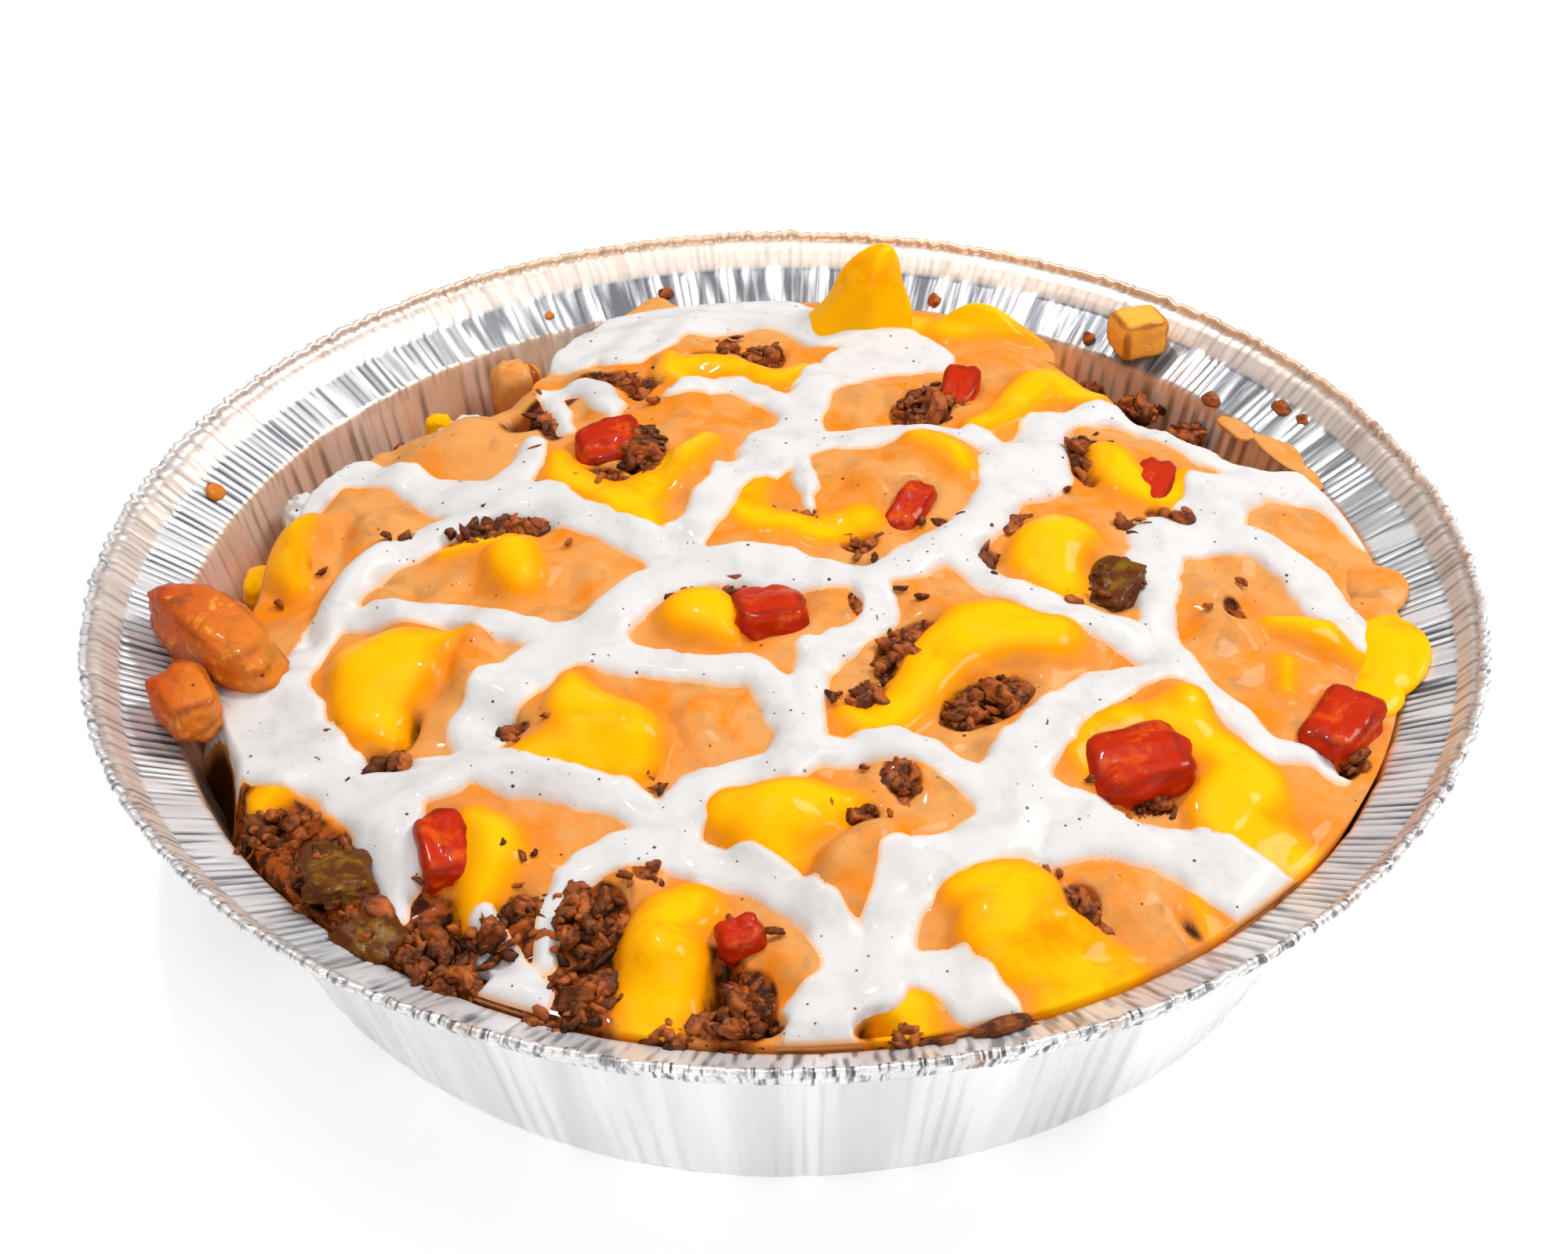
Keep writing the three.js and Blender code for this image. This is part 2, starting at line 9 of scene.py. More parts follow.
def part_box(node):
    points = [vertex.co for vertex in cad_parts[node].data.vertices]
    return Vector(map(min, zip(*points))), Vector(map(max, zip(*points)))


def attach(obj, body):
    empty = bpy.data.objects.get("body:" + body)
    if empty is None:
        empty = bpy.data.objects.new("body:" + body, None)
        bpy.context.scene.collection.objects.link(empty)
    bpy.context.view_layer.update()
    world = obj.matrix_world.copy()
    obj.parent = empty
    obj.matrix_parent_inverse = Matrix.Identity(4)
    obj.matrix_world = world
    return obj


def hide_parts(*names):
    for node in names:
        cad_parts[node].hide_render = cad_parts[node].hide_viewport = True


bl_info = {
    "name": "Dish of French Fries",
    "version": (1, 0, 0),
    "blender": (4, 5, 0),
    "location": "View3D > Sidebar > Fries",
    "description": "Builds loaded fries with cheese, orange sauce and ranch in a foil pan",
    "category": "Add Mesh",
}

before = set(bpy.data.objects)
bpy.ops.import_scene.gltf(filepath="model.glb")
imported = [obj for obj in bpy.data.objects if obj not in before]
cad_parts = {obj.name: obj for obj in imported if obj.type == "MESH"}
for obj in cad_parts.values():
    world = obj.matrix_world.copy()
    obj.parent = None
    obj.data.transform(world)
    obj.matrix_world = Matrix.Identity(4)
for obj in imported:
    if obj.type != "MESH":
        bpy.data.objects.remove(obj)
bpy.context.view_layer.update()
MM = 0.001
TAU = 2 * math.pi

# Foil pan, in millimetres, as in the solids.
BASE_RADIUS = 92.0
LIP_RADIUS = 102.8
LIP_HEIGHT = 39.5
LEDGE_RADIUS = 110.9
LEDGE_HEIGHT = 43.3
RIM_HEIGHT = 47.6
RIM_LEAN = 4.1
RIM_LEAN_BACK = 1.9
RIM_LEAN_LEFT = 0.5
FOIL = 0.6
# Folds of the ledge round the whole pan. The wall has half as many.
FOLDS = 390

# Faces: points round the pan, and cells across the heap and the ranch.
PAN_AROUND = 1740
HEAP_CELLS = 300
RANCH_CELLS = 320

# Heap, in millimetres, as in the solids.
DOME_TOP = 52.0
DOME_DROP = 12.5
DOME_RADIUS = 101.0
WALL_FILL = 38.0
TROUGH_DEPTH = 22.0
TROUGH_SPAN = 14.0
WALL_SIDE = 99.0
FALL_POWER = 0.9
# Share of a lump's height that still shows under the sauce.
SAUCED_SHARE = 0.8
# The heap's underside, and the gaps between the food and the foil.
FOOD_FLOOR = 1.2
FOOD_GAP = 0.45
RANCH_GAP = 0.6
HELD_GAP = 0.6
# Where the heap begins to fall to the wall: azimuth in degrees and radius.
HEAP_EDGE = (
    (0, 102), (15, 102), (21, 100), (25, 86), (30, 82), (38, 80), (46, 81), (52, 84),
    (58, 96), (64, 102), (104, 102), (110, 99), (114, 95), (119, 88), (124, 82), (130, 75),
    (136, 75), (142, 77), (148, 81), (154, 86), (162, 89), (170, 90), (180, 89), (190, 93),
    (197, 96), (205, 95), (211, 97), (217, 100), (225, 102), (340, 102), (360, 102),
)
# Lumps where fries stand up under the sauce: x, y, half length, half width, height, turn.
LUMPS = (
    (41, 89, 13, 12, 11, 0), (-12, 64, 16, 8, 3.5, -25), (-20, 50, 8, 12, 2.5, 10),
    (20, 24, 11, 17, 3, -30), (-16, 20, 9, 17, 3, -15), (34, -22, 19, 11, 3, -20),
    (-64, -27, 12, 12, 4, 0), (-50, -26, 5, 14, 3, 5), (-28, -46, 17, 9, 3, -10),
    (-14, -43, 6, 9, 2.5, 0), (0, -64, 15, 9, 3, -5), (16, -66, 9, 10, 2, -30),
    (-18, -88, 8, 15, 3.5, 5), (0, -88, 7, 10, 2, 30), (32, -82, 16, 11, 3, -20),
    (50, -76, 12, 8, 3, -10), (66, -56, 15, 12, 3, -35), (62, -38, 7, 9, 3, 0),
    (46, 0, 9, 12, 3, 10), (72, -12, 8, 16, 3, 5), (86, -16, 12, 6, 2.5, -10),
    (88, 17, 9, 11, 3, -20), (-82, 10, 7, 14, 4, 10), (-70, 12, 7, 13, 3, -20),
    (-60, 40, 13, 10, 3.5, 30), (-45, -68, 8, 12, 3, 10), (-45, -3, 13, 8, 3, -10),
    (18, 52, 9, 13, 2.5, -20), (48, 60, 10, 10, 3, 0), (40, 74, 9, 10, 2, 0),
    (60, 28, 9, 12, 2.5, -20), (-13, -19, 10, 8, 3, -10), (10, -73, 16, 8.5, 5.5, 55),
    (-71, 1, 17, 5.5, 4.5, 66),
)
# Ridges of fries under the sauce: how many, the radius they fill, and the least and most of their
# half length, half width and height. A sharper ridge joins its neighbours more abruptly.
RIDGES = 120
RIDGE_FIELD = 96
RIDGE_LENGTH = (9, 22)
RIDGE_WIDTH = (4.2, 6.2)
RIDGE_HEIGHT = (0.8, 2.6)
RIDGE_SHARPNESS = 2.2
# Dark gaps between coated fries, sunk and given painted shade: x, y, half length, half width, depth, turn.
GAPS = (
    (-59, -40, 2.2, 6, 5, -12), (10, -63, 4, 3.5, 5, 40), (-78, -14, 2, 5, 4, 0),
    (58, -80, 1.8, 4, 3, 30), (-10, -92, 3, 8, 5, -8),
    (-52, -82, 9, 6, 5, 35), (-43, -86, 5, 6, 6, 0), (-79, -58, 5, 4, 5, 40),
    (87, -44, 3, 5, 5, -30), (-44, -42, 2.5, 4, 3, -30), (-15, 70, 10, 4, 2.5, 0),
    (-26, 56, 2.5, 7, 4, 0), (-48, 47, 4, 7, 4, 20), (7, 4, 6, 4, 2.5, 20),
    (-62, -46, 6, 2.5, 4, -20),
)

# Hollows between the food and the wall, sunk and given painted shade, in the same way.
WALL_GAPS = (
    (-92, -38, 4.5, 11, 13, 23), (-72, -72, 6, 5, 9, 40), (-62, -79, 4, 6, 10, -40),
    (-47, -88, 5, 4, 9, 0), (-84, -56, 4, 6, 8, 35), (-6, -98, 6, 3, 6, 0), (12, -99, 4, 3, 5, 0),
    (84, 53, 6, 4, 5, 30),
)

# Sauce runs, each a list of stops: x, y and half width in millimetres.
RANCH = (
    ((-40, 74, 6), (-34, 84, 9), (-22, 92, 11), (-8, 95, 10), (2, 90, 8), (10, 80, 6)),
    ((-30, 76, 8), (-26, 84, 8)),
    ((10, 80, 5), (20, 76, 8), (26, 72, 6), (29, 68, 3)),
    ((20, 72, 9), (15, 68, 7), (9, 60, 5), (5, 52, 4), (3, 42, 4.5), (-2, 29, 6.5), (-9, 18, 3.8),
     (-14, 8, 3.5), (-17, 0, 4), (-17, -6, 6)),
    ((2, 27, 2), (3.5, 18, 2), (4, 10, 1.2)),
    ((-20, 50, 2), (-13, 54, 3), (-6, 52, 3), (0, 46, 3), (3, 40, 3)),
    ((-17, -6, 5), (-10, -6, 5), (0, -7, 5), (10, -9, 3.5), (18, -7, 4), (24, -2, 5), (29, 2, 5),
     (34, 10, 4.5), (38, 18, 5), (42, 26, 8), (45, 36, 5), (47, 42, 4), (52, 47, 3.5), (59, 49, 3),
     (66, 46, 3), (72, 39, 3), (78, 35, 3.5), (86, 33, 6), (94, 32, 6), (100, 27, 5), (102, 18, 3.5)),
    ((42, 28, 5), (36, 34, 3.5), (30, 37.5, 2.5), (24, 37, 2.5), (17, 34, 4), (10, 33, 4), (3, 33, 5)),
    ((88, 40, 5), (95, 33, 6), (100, 25, 5), (102, 16, 3.5)),
    ((84, 30, 4), (76, 25, 6), (74, 18, 6), (70, 12, 6), (64, 8, 6), (62, 4, 5), (61, -4, 4.5),
     (60, -15, 3.2), (60, -20, 3.2), (61, -27, 4)),
    ((72, 11, 5), (81, 8, 4.5), (86, 3, 5), (90, -5, 5), (93, -12, 4.5), (94, -15, 3)),
    ((29, -3, 4), (33, -8, 3.2), (41, -13.5, 3), (48, -18.5, 3.5), (55, -21, 3.5), (60, -26, 4)),
    ((60, -28, 3), (56, -29.5, 3), (50, -33, 4), (43, -40, 4.5), (37, -48, 5), (34, -56, 6), (37, -63, 8)),
    ((63, -27, 2.2), (67, -33, 2.5), (71, -39, 2.8), (75, -43.5, 2.8), (82, -43, 2.8), (85, -47, 1.5)),
    ((36, -62, 7), (44, -63, 6), (50, -64.5, 4.5), (58, -67, 4.5), (66, -71, 6), (72, -75, 6.5)),
    ((-82, 36, 3), (-76, 34, 4), (-66, 28, 4), (-55, 20, 6.5), (-45, 18, 6), (-38, 12, 4),
     (-30, 5, 3.5), (-23, 0, 3.5), (-17, -5, 4.5)),
    ((-84, 27, 3.5), (-80, 34, 3.5)),
    ((-50, 22, 4), (-46, 30, 3.5), (-45, 36, 2.5)),
    ((-54, 15, 4), (-62, 8, 3.5), (-68, 2, 3.5), (-73, -5, 3.5), (-76, -13, 3.5), (-80, -20, 3.5),
     (-87, -27, 4)),
    ((-80, -24, 4), (-79, -31, 4.5), (-74, -40, 4)),
    ((-74, -10, 3), (-64, -12, 3), (-55, -13.5, 3.2), (-47, -17, 3.5), (-39, -21, 3.5), (-31, -23, 5)),
    ((-17, -7, 5.5), (-23, -11, 4.5), (-27, -17, 4.5), (-32, -24, 5)),
    ((-33, -24, 6), (-25, -28, 4), (-15, -30.5, 3.5), (-6, -32, 3.5), (-2, -37, 3.5), (1, -45, 3.5),
     (0, -52, 4.5)),
    ((-36, -26, 5), (-43, -32, 5), (-47, -40, 5), (-48, -47, 4)),
    ((-90, -27, 5), (-86, -34, 7), (-80, -40, 8), (-70, -47, 5.5), (-63, -52, 6), (-54, -51, 6),
     (-48, -50, 4.5), (-40, -53, 3.2), (-31, -56, 3.2), (-24, -59, 3.2), (-18, -65, 4)),
    ((-62, -52, 7), (-60, -60, 6), (-58, -68, 4), (-57, -76, 2)),
    ((-18, -66, 5), (-15, -58, 3.5), (-9, -54, 3.2), (0, -52, 3.5), (8, -50, 3), (16, -48.5, 3),
     (23, -51, 3.2), (29, -58, 3.2), (33, -64, 5)),
    ((-18, -66, 4), (-26, -68, 4), (-32, -73, 3), (-34, -80, 2.4), (-35, -86, 1.6)),
    ((-18, -67, 4), (-12, -71, 3.5), (-4, -74, 3.5), (3, -80, 3.5), (8, -87, 4), (10, -93, 6)),
    ((4, -28, 3), (3, -36, 3), (3, -45, 3), (0, -52, 3)),
    ((12, -9, 3), (15, -15, 3), (14, -20, 3), (9, -25, 3), (5, -30, 3)),
    ((32, -66, 5), (24, -70, 4), (18, -74, 5), (15, -81, 4), (13, -88, 4.5), (8, -95, 6), (3, -98, 5)),
    ((14, -89, 3), (22, -90, 4), (27, -95, 4.5), (30, -99, 3)),
    ((-44, -79, 2.5), (-42, -86, 4), (-38, -93, 5)),
    ((-44, 58, 2.5), (-38, 59, 3.5), (-33, 52, 3.5), (-31, 44, 2)),
    ((-43, 57, 2), (-41, 49, 2), (-39, 40, 1.5)),
)
# Melted cheese, in the same way.
CHEESE = (
    ((-84, 17, 4), (-85, 8, 4.5), (-82, 0, 3)),
    ((-40, 31, 3), (-38, 24, 4.5), (-32, 17, 4.5), (-26, 10, 5), (-23, 4, 4)),
    ((-26, 12, 5), (-20, 22, 6), (-14, 31, 4)),
    ((-21, 68, 3), (-21, 60, 4), (-17, 54, 3.5)),
    ((-19, 62, 4), (-10, 60, 4), (-2, 57, 4), (4, 62, 4)),
    ((-5, 18, 3), (-7, 11, 4.5), (-3, 6, 4.5), (4, 4, 4), (12, 6, 5)),
    ((24, 31, 4), (29, 29, 4), (31, 23, 3)),
    ((46, 96, 10), (44, 89, 11), (34, 84, 7)),
    ((8, 92, 5), (17, 88, 11), (26, 90, 5)),
    ((35, 41, 4), (40, 45, 4), (44, 53, 5), (50, 58, 6), (56, 55, 5)),
    ((56, 35, 3), (59, 26, 5.5), (66, 21, 4.5), (70, 28, 3)),
    ((47, 5, 6.5), (43, -2, 7), (45, -9, 5)),
    ((80, -14, 3.5), (86, -15, 4.5), (92, -18, 3.5)),
    ((80, -24, 2.5), (79, -30, 2)),
    ((42, -24, 6), (33, -23, 7), (25, -28, 6), (20, -37, 5), (14, -44, 4.5), (9, -42, 2.5)),
    ((-8, -62, 5.5), (-2, -64, 7), (4, -62, 6), (9, -61, 4)),
    ((-3, -68, 5), (0, -72, 3)),
    ((-34, -34, 2.5), (-32, -40, 6), (-27, -46, 8), (-24, -51, 5.5)),
    ((-45, -50, 1.5), (-38, -50, 4), (-30, -51, 5)),
    ((-69, -22, 5), (-64, -27, 9), (-65, -34, 7), (-62, -40, 4)),
    ((-58, -23, 4), (-53, -21, 2)),
    ((-15, -19, 6), (-12, -20, 6), (-10, -24, 3)),
    ((-57, 3, 3), (-47, 4, 4), (-45, -3, 5), (-43, -8, 4)),
    ((-47, -61, 3.5), (-44, -66, 5.5), (-44, -72, 5), (-46, -78, 2.5)),
    ((-14, -79, 5), (-18, -83, 6), (-18, -90, 7), (-19, -97, 6)),
    ((26, -77, 5), (34, -77, 6), (30, -84, 7), (40, -87, 7), (47, -91, 5.5), (38, -94, 5)),
    ((52, -43, 5), (46, -48, 5), (48, -55, 3)),
    ((58, -42, 5), (64, -44, 4), (70, -52, 7), (66, -60, 7), (72, -64, 6), (77, -65, 4)),
    ((63, -37, 4), (62, -45, 4)),
    ((16, -96, 5.5), (16, -99, 5.5)),
    ((-79, -50, 4), (-82, -54, 3)),
    ((59, -75, 1.8), (61, -80, 1.8)),
)

# Bare beef between the sauces near the wall, in the same way.
MEAT = (
    ((-86, -48, 3), (-78, -58, 7), (-68, -69, 8), (-58, -78, 9), (-48, -85, 9), (-36, -90, 9),
     (-26, -92, 7)),
    ((-30, -80, 7), (-30, -92, 7)), ((-10, -88, 4), (-8, -97, 6)),
    ((-48, 44, 4), (-44, 52, 4), (-34, 62, 4), (-24, 56, 3)), ((-16, 71, 3), (-4, 71, 4)),
)

# Toppings that are nodes: length, width and height in millimetres, and turn in degrees.
TOMATO = {
    "tomato_1": (12, 10, 7, 20), "tomato_2": (12, 12, 8, 10), "tomato_3": (16, 13, 9, 15),
    "tomato_4": (10, 15, 8, -35), "tomato_5": (8, 13, 8, 15), "tomato_6": (7, 14, 6, -20),
    "tomato_7": (6, 12, 6, -25), "tomato_8": (7, 13, 6, -15), "tomato_9": (7, 6, 6, 10),
}
PEPPER = {"pepper_1": (9, 12, 6, -30), "pepper_2": (10, 15, 7, 15), "pepper_3": (8, 10, 6, 50)}
BEEF = {
    "beef_1": (8, 18, 8, 10), "beef_2": (9, 9, 7, 40), "beef_3": (10, 18, 8, -30),
    "beef_4": (7, 18, 7, 5), "beef_5": (18, 9, 7, 15), "beef_6": (9, 16, 8, -30),
    "beef_7": (18, 9, 7, 35), "beef_8": (13, 13, 9, 0), "beef_9": (12, 12, 8, 30),
    "beef_10": (9, 13, 8, -10), "beef_11": (11, 11, 8, 30), "beef_12": (12, 11, 8, 10),
    "beef_13": (8, 10, 7, 60), "beef_14": (8, 12, 6, 5),
}
POTATO = {
    "potato_wedge_1": (31, 12.5, 10, -47), "potato_wedge_2": (15, 10, 8.5, -60),
    "potato_cube": (10, 9, 8, 20),
}
# Small bits of beef that have no node: x, y, length, width.
BEEF_BITS = (
    (13, -38, 6, 9), (66, 15, 9, 5), (-17, -99, 6, 5), (-70, -66, 8, 7), (-62, -75, 9, 7),
    (-48, -88, 8, 6), (17, -55, 6, 9), (11, -62, 5, 5), (42, -77, 6, 8), (17, -100, 7, 4),
    (-42, 44, 6, 14), (-11, 73, 4, 8), (12, 1, 7, 6), (3, 7, 5, 5), (46, -12, 5, 4),
    (-61, -47, 7, 3), (33, -2, 4, 6), (-42, -43, 5, 4), (-16, -12, 4, 4), (38, 8, 4, 9),
    (73, -13, 4, 6), (-25, 56, 5, 9), (-68, -37, 6, 3), (-82, 4, 4, 7), (-64, 9, 4, 4),
    (88, -42, 4, 6), (32, -98, 7, 3), (-12, -98, 6, 5), (-38, -77, 6, 5), (-30, 62, 6, 4),
    (54, -57, 9, 3), (26, 7, 3, 3), (-22, -53, 5, 4), (-8, -12, 5, 3), (11, -16, 2.5, 6),
    (-72, -74, 6, 5), (-35, -96, 5, 5), (-21, -72, 4, 4), (-76, 40, 4, 5), (58, 12, 2, 3),
)
BIT_HEIGHT = 5
BIT_SUNK = 0.9
CRUMBS_ON_PEPPER = 9
# Least area, in square millimetres, of a piece of beef that has a solid core under its crumbs.
CORE_AREA = 34

# Food on the ledge: turn in degrees, radius, length along the rim, width and height. It is an egg
# sunk by a share of its height, and cut off a little way into the foil.
SCRAP_SUNK = 0.3
SCRAP_FOOT = -0.3
CHEESE_ON_LEDGE = ((-9, 99.5, 23, 14, 5), (-15, 98, 13, 9, 3.6))
ORANGE_ON_LEDGE = ((1.5, 99.8, 13, 11, 4.8), (-3, 98, 14, 9, 4.2), (104.8, 101.5, 11, 7, 1.8),
                   (27, 101.5, 14, 4.5, 1.4), (33, 99.5, 9, 4, 2), (22, 101.8, 8, 3, 1))
POTATO_CRUMBS = ((162.1, 107, 4.5, 3, 2), (116, 106, 2, 1.4, 1))
BEEF_CRUMBS = ((73.4, 105, 2.6, 2.4, 2), (102.9, 106, 3.2, 2.2, 1.8), (55.4, 104.5, 2.6, 2.2, 1.8),
               (31.8, 108.5, 5, 2.2, 1.4), (29, 109, 3, 1.6, 1.2), (38.6, 102.6, 4, 3, 2.4),
               (-73.4, 102.8, 9, 3.4, 3), (-78, 103, 3, 2, 1.6))
# Sauce down in the gaps: x, y, z, length, width, height, turn, and how far it counts as cheese.
SAUCE_IN_GAPS = ((-52.7, 78, 34, 8, 8, 13, 20, -5), (-66, 66, 33, 5, 4, 7, 0, 5),
                 (-90, 12, 36, 8, 8, 6, 0, 5))
# Ranch down in the gaps: x, y, z, length, width, height, turn.
RANCH_IN_GAPS = ((-62, 65, 33, 13, 7, 4.5, 40), (-86, 34, 34, 8, 13, 9, 25))
# Beef down in the gaps: x, y, z, length, width, height.
BEEF_IN_GAPS = ((-73, 56, 33, 10, 5, 5), (66, 69, 34, 12, 6, 6), (77, 62, 33, 8, 6, 6),
                (-84, 46, 30, 8, 5, 5), (58, 76, 34, 7, 5, 5), (-93, 22, 26, 5, 8, 5))
# How far a piece lies inside the cheese, in millimetres, where it is all cheese or all orange sauce.
ALL_CHEESE = 5.0
NO_CHEESE = -5.0
# The drawn-up peak of cheese: x, y, radius at its foot, height, and how far its tip leans.
CHEESE_PEAK = (14, 86, 9.6, 19, (5, 0))

# Fries that show in the gaps beside the heap, placed by the same rule as in the solids. A row of
# them has its first and last azimuth, its count, how far out it reaches and the fries' length.
FRY_SIDE = 7.0
FRY_SCATTER = 1.3
FRY_SUNK = 0.3
FRY_SHORTEST = 0.35
FRY_SPREAD = 0.2
FRY_BOW = 3.0
FRY_REACH = 97.0
TROUGH_SEEDS = 50
FRY_SEEDS = 3
TROUGH_FRIES = ((128, 172, 9, 7, 46), (30, 50, 3, 8, 40))
LEANING_FRY = ((-54, 73, 20), (-50, 81, 39))
LEANING_FRY_ROLL = 0.3

# Seeds, one for each kind of uneven piece.
SEEDS = {"vegetables": 300, "beef": 400, "beef_bits": 500, "potato": 600, "cheese_on_ledge": 700,
         "orange_on_ledge": 720, "sauce_in_gaps": 740, "ranch_in_gaps": 760, "potato_crumbs": 780,
         "beef_crumbs": 800, "beef_in_gaps": 820, "strewn": 907, "strewn_shapes": 1000,
         "pepper_crumbs": 1200, "peak": 71, "leaning_fry": 5, "ridges": 11}
# The golden angle, in radians, by which crumbs follow each other in a spiral.
GOLDEN_TURN = 2.39996

# Camera: the photograph's own, found from the pan's rim, ledge, lip and base.
CAMERA_DISTANCE = 500.0
CAMERA_ELEVATION = math.radians(37.105)
CAMERA_ROLL = math.radians(-0.4624)
CAMERA_TARGET = (-0.52, 46.93, 0.0)
CAMERA_LENS = 59.6
SENSOR = 36.0

# Light: each lamp's place in metres, size in metres and power in watts, all aimed at the origin.
LAMPS = {
    "key": ((0.75, 0.3, 0.95), 0.4, 10.5), "fill": ((0.0, -1.3, 0.8), 1.2, 9),
    "top": ((-0.1, 0.2, 1.6), 1.2, 7), "glint": ((-0.3, 0.35, 1.2), 0.06, 3.6),
}
ROOM_LIGHT = 0.34

# Floor: its radius, and how far it lies under the pan, in millimetres.
FLOOR_RADIUS = 3000
FLOOR_DROP = 0.05
FLOOR_CELLS = 24


# Plain arithmetic on arrays

def clamp(value):
    """A value kept from 0 to 1."""
    return np.clip(value, 0.0, 1.0)


def ease(value):
    """From 0 to 1 by the smooth step t^2 (3 - 2 t)."""
    t = clamp(value)
    return t * t * (3 - 2 * t)


def draw(index):
    """A repeatable number from 0 to 1 for each whole number, as in the solids."""
    wave = math.sin(index * 127.1 + 311.7) * 43758.5453
    return wave - math.floor(wave)


def sway(index):
    """A repeatable angle from -15 to 15 degrees for each whole number."""
    return 30 * draw(index) - 15


def turns(count):
    """Even angles once round."""
    return np.arange(count) / count * TAU


def ripples(points, pitch, seed, waves=14):
    """An uneven value of about -1 to 1: the sum of plane waves in random directions, near pitch long."""
    rng = np.random.default_rng(seed)
    ways = rng.normal(size=(waves, points.shape[-1]))
    ways /= np.linalg.norm(ways, axis=1)[:, None]
    ways *= (TAU / pitch) * rng.uniform(0.7, 1.4, (waves, 1))
    phases = rng.uniform(0, TAU, waves)
    return np.sin(points @ ways.T + phases).sum(-1) / math.sqrt(waves / 2) * 0.6


def turned(x, y, degrees):
    """x and y in axes turned by an angle."""
    c, s = math.cos(math.radians(degrees)), math.sin(math.radians(degrees))
    return x * c + y * s, y * c - x * s


def edge_radius(azimuth):
    """Radius at which the heap begins to fall, eased between the stops of HEAP_EDGE."""
    angles, radii = np.array(HEAP_EDGE, float).T
    a = np.mod(azimuth, 360.0)
    i = np.clip(np.searchsorted(angles, a, side="right"), 1, len(angles) - 1)
    t = ease((a - angles[i - 1]) / (angles[i] - angles[i - 1]))
    return radii[i - 1] + (radii[i] - radii[i - 1]) * t


def dome(r):
    """Height of the dome, which drops with the square of the radius."""
    return DOME_TOP - DOME_DROP * (r / DOME_RADIUS) ** 2


def heap_top(x, y):
    """Height of the heap: a dome out to its edge radius, then a fall to the trough at the wall."""
    r = np.hypot(x, y)
    edge = edge_radius(np.degrees(np.arctan2(y, x)))
    trough = WALL_FILL - TROUGH_DEPTH * clamp((DOME_RADIUS - edge) / TROUGH_SPAN)
    fall = clamp((r - edge) / np.maximum(WALL_SIDE - edge, 2)) ** FALL_POWER
    return np.where(r <= edge, dome(r), dome(edge) + (trough - dome(edge)) * fall)


def height_at(x, y):
    """Height of the heap at one place."""
    return float(heap_top(np.array([x]), np.array([y]))[0])


def wall_radius(z):
    """Radius of the pan's inner wall at a height."""
    return BASE_RADIUS - FOIL + (LIP_RADIUS - BASE_RADIUS) * clamp(z / LIP_HEIGHT)


def held(points):
    """Points drawn in where they would pass through the pan's wall, and the same ones elsewhere."""
    above = np.maximum(points[:, 2] - LIP_HEIGHT, 0)
    limit = wall_radius(points[:, 2]) - HELD_GAP + above * 4
    share = np.minimum(1, limit / np.maximum(np.hypot(points[:, 0], points[:, 1]), 1))
    return points * np.stack([share, share, np.ones_like(share)], -1)


def curve(run, step=1.5):
    """A Catmull-Rom curve through a run's stops, as x, y and half width at even steps. Between two
    stops it is half of 2 b + (c - a) t + (2 a - 5 b + 4 c - d) t^2 + (3 b - a - 3 c + d) t^3."""
    p = np.array(run, float)
    a = np.vstack([2 * p[0] - p[1], p, 2 * p[-1] - p[-2]])
    parts = []
    for p0, p1, p2, p3 in zip(a[:-3], a[1:-2], a[2:-1], a[3:]):
        n = max(2, int(np.ceil(np.hypot(*(p2 - p1)[:2]) / step)))
        t = np.linspace(0, 1, n, endpoint=False)[:, None]
        parts.append(0.5 * (2 * p1 + (p2 - p0) * t + (2 * p0 - 5 * p1 + 4 * p2 - p3) * t**2
                            + (3 * p1 - p0 - 3 * p2 + p3) * t**3))
    parts.append(p[-1:])
    return np.vstack(parts)


def inset(x, y, runs, soft, reach=10.0):
    """How far each place lies inside the nearest run, below zero outside all, with a smooth
    maximum so that runs join in fillets."""
    total = np.zeros_like(x)
    for run in runs:
        c = curve(run)
        low = c[:, :2].min(0) - reach - c[:, 2].max()
        high = c[:, :2].max(0) + reach + c[:, 2].max()
        near = (x > low[0]) & (x < high[0]) & (y > low[1]) & (y < high[1])
        xs, ys = x[near], y[near]
        best = np.full(xs.shape, -1e3)
        for (x0, y0, w0), (x1, y1, w1) in zip(c[:-1], c[1:]):
            dx, dy = x1 - x0, y1 - y0
            t = clamp(((xs - x0) * dx + (ys - y0) * dy) / (dx * dx + dy * dy + 1e-9))
            best = np.maximum(best, w0 + (w1 - w0) * t - np.hypot(xs - x0 - dx * t, ys - y0 - dy * t))
        total[near] += np.exp(np.clip(best / soft, -40, 40))
    return soft * np.log(total + 1e-6)


def bumps(x, y, table):
    """The highest of many eased ellipses, each with its own height and turn."""
    rise = np.zeros_like(x)
    for mid_x, mid_y, length, width, height, turn in table:
        along, across = turned(x - mid_x, y - mid_y, turn)
        rise = np.maximum(rise, height * ease(1.25 * (1 - np.hypot(along / length, across / width))))
    return rise


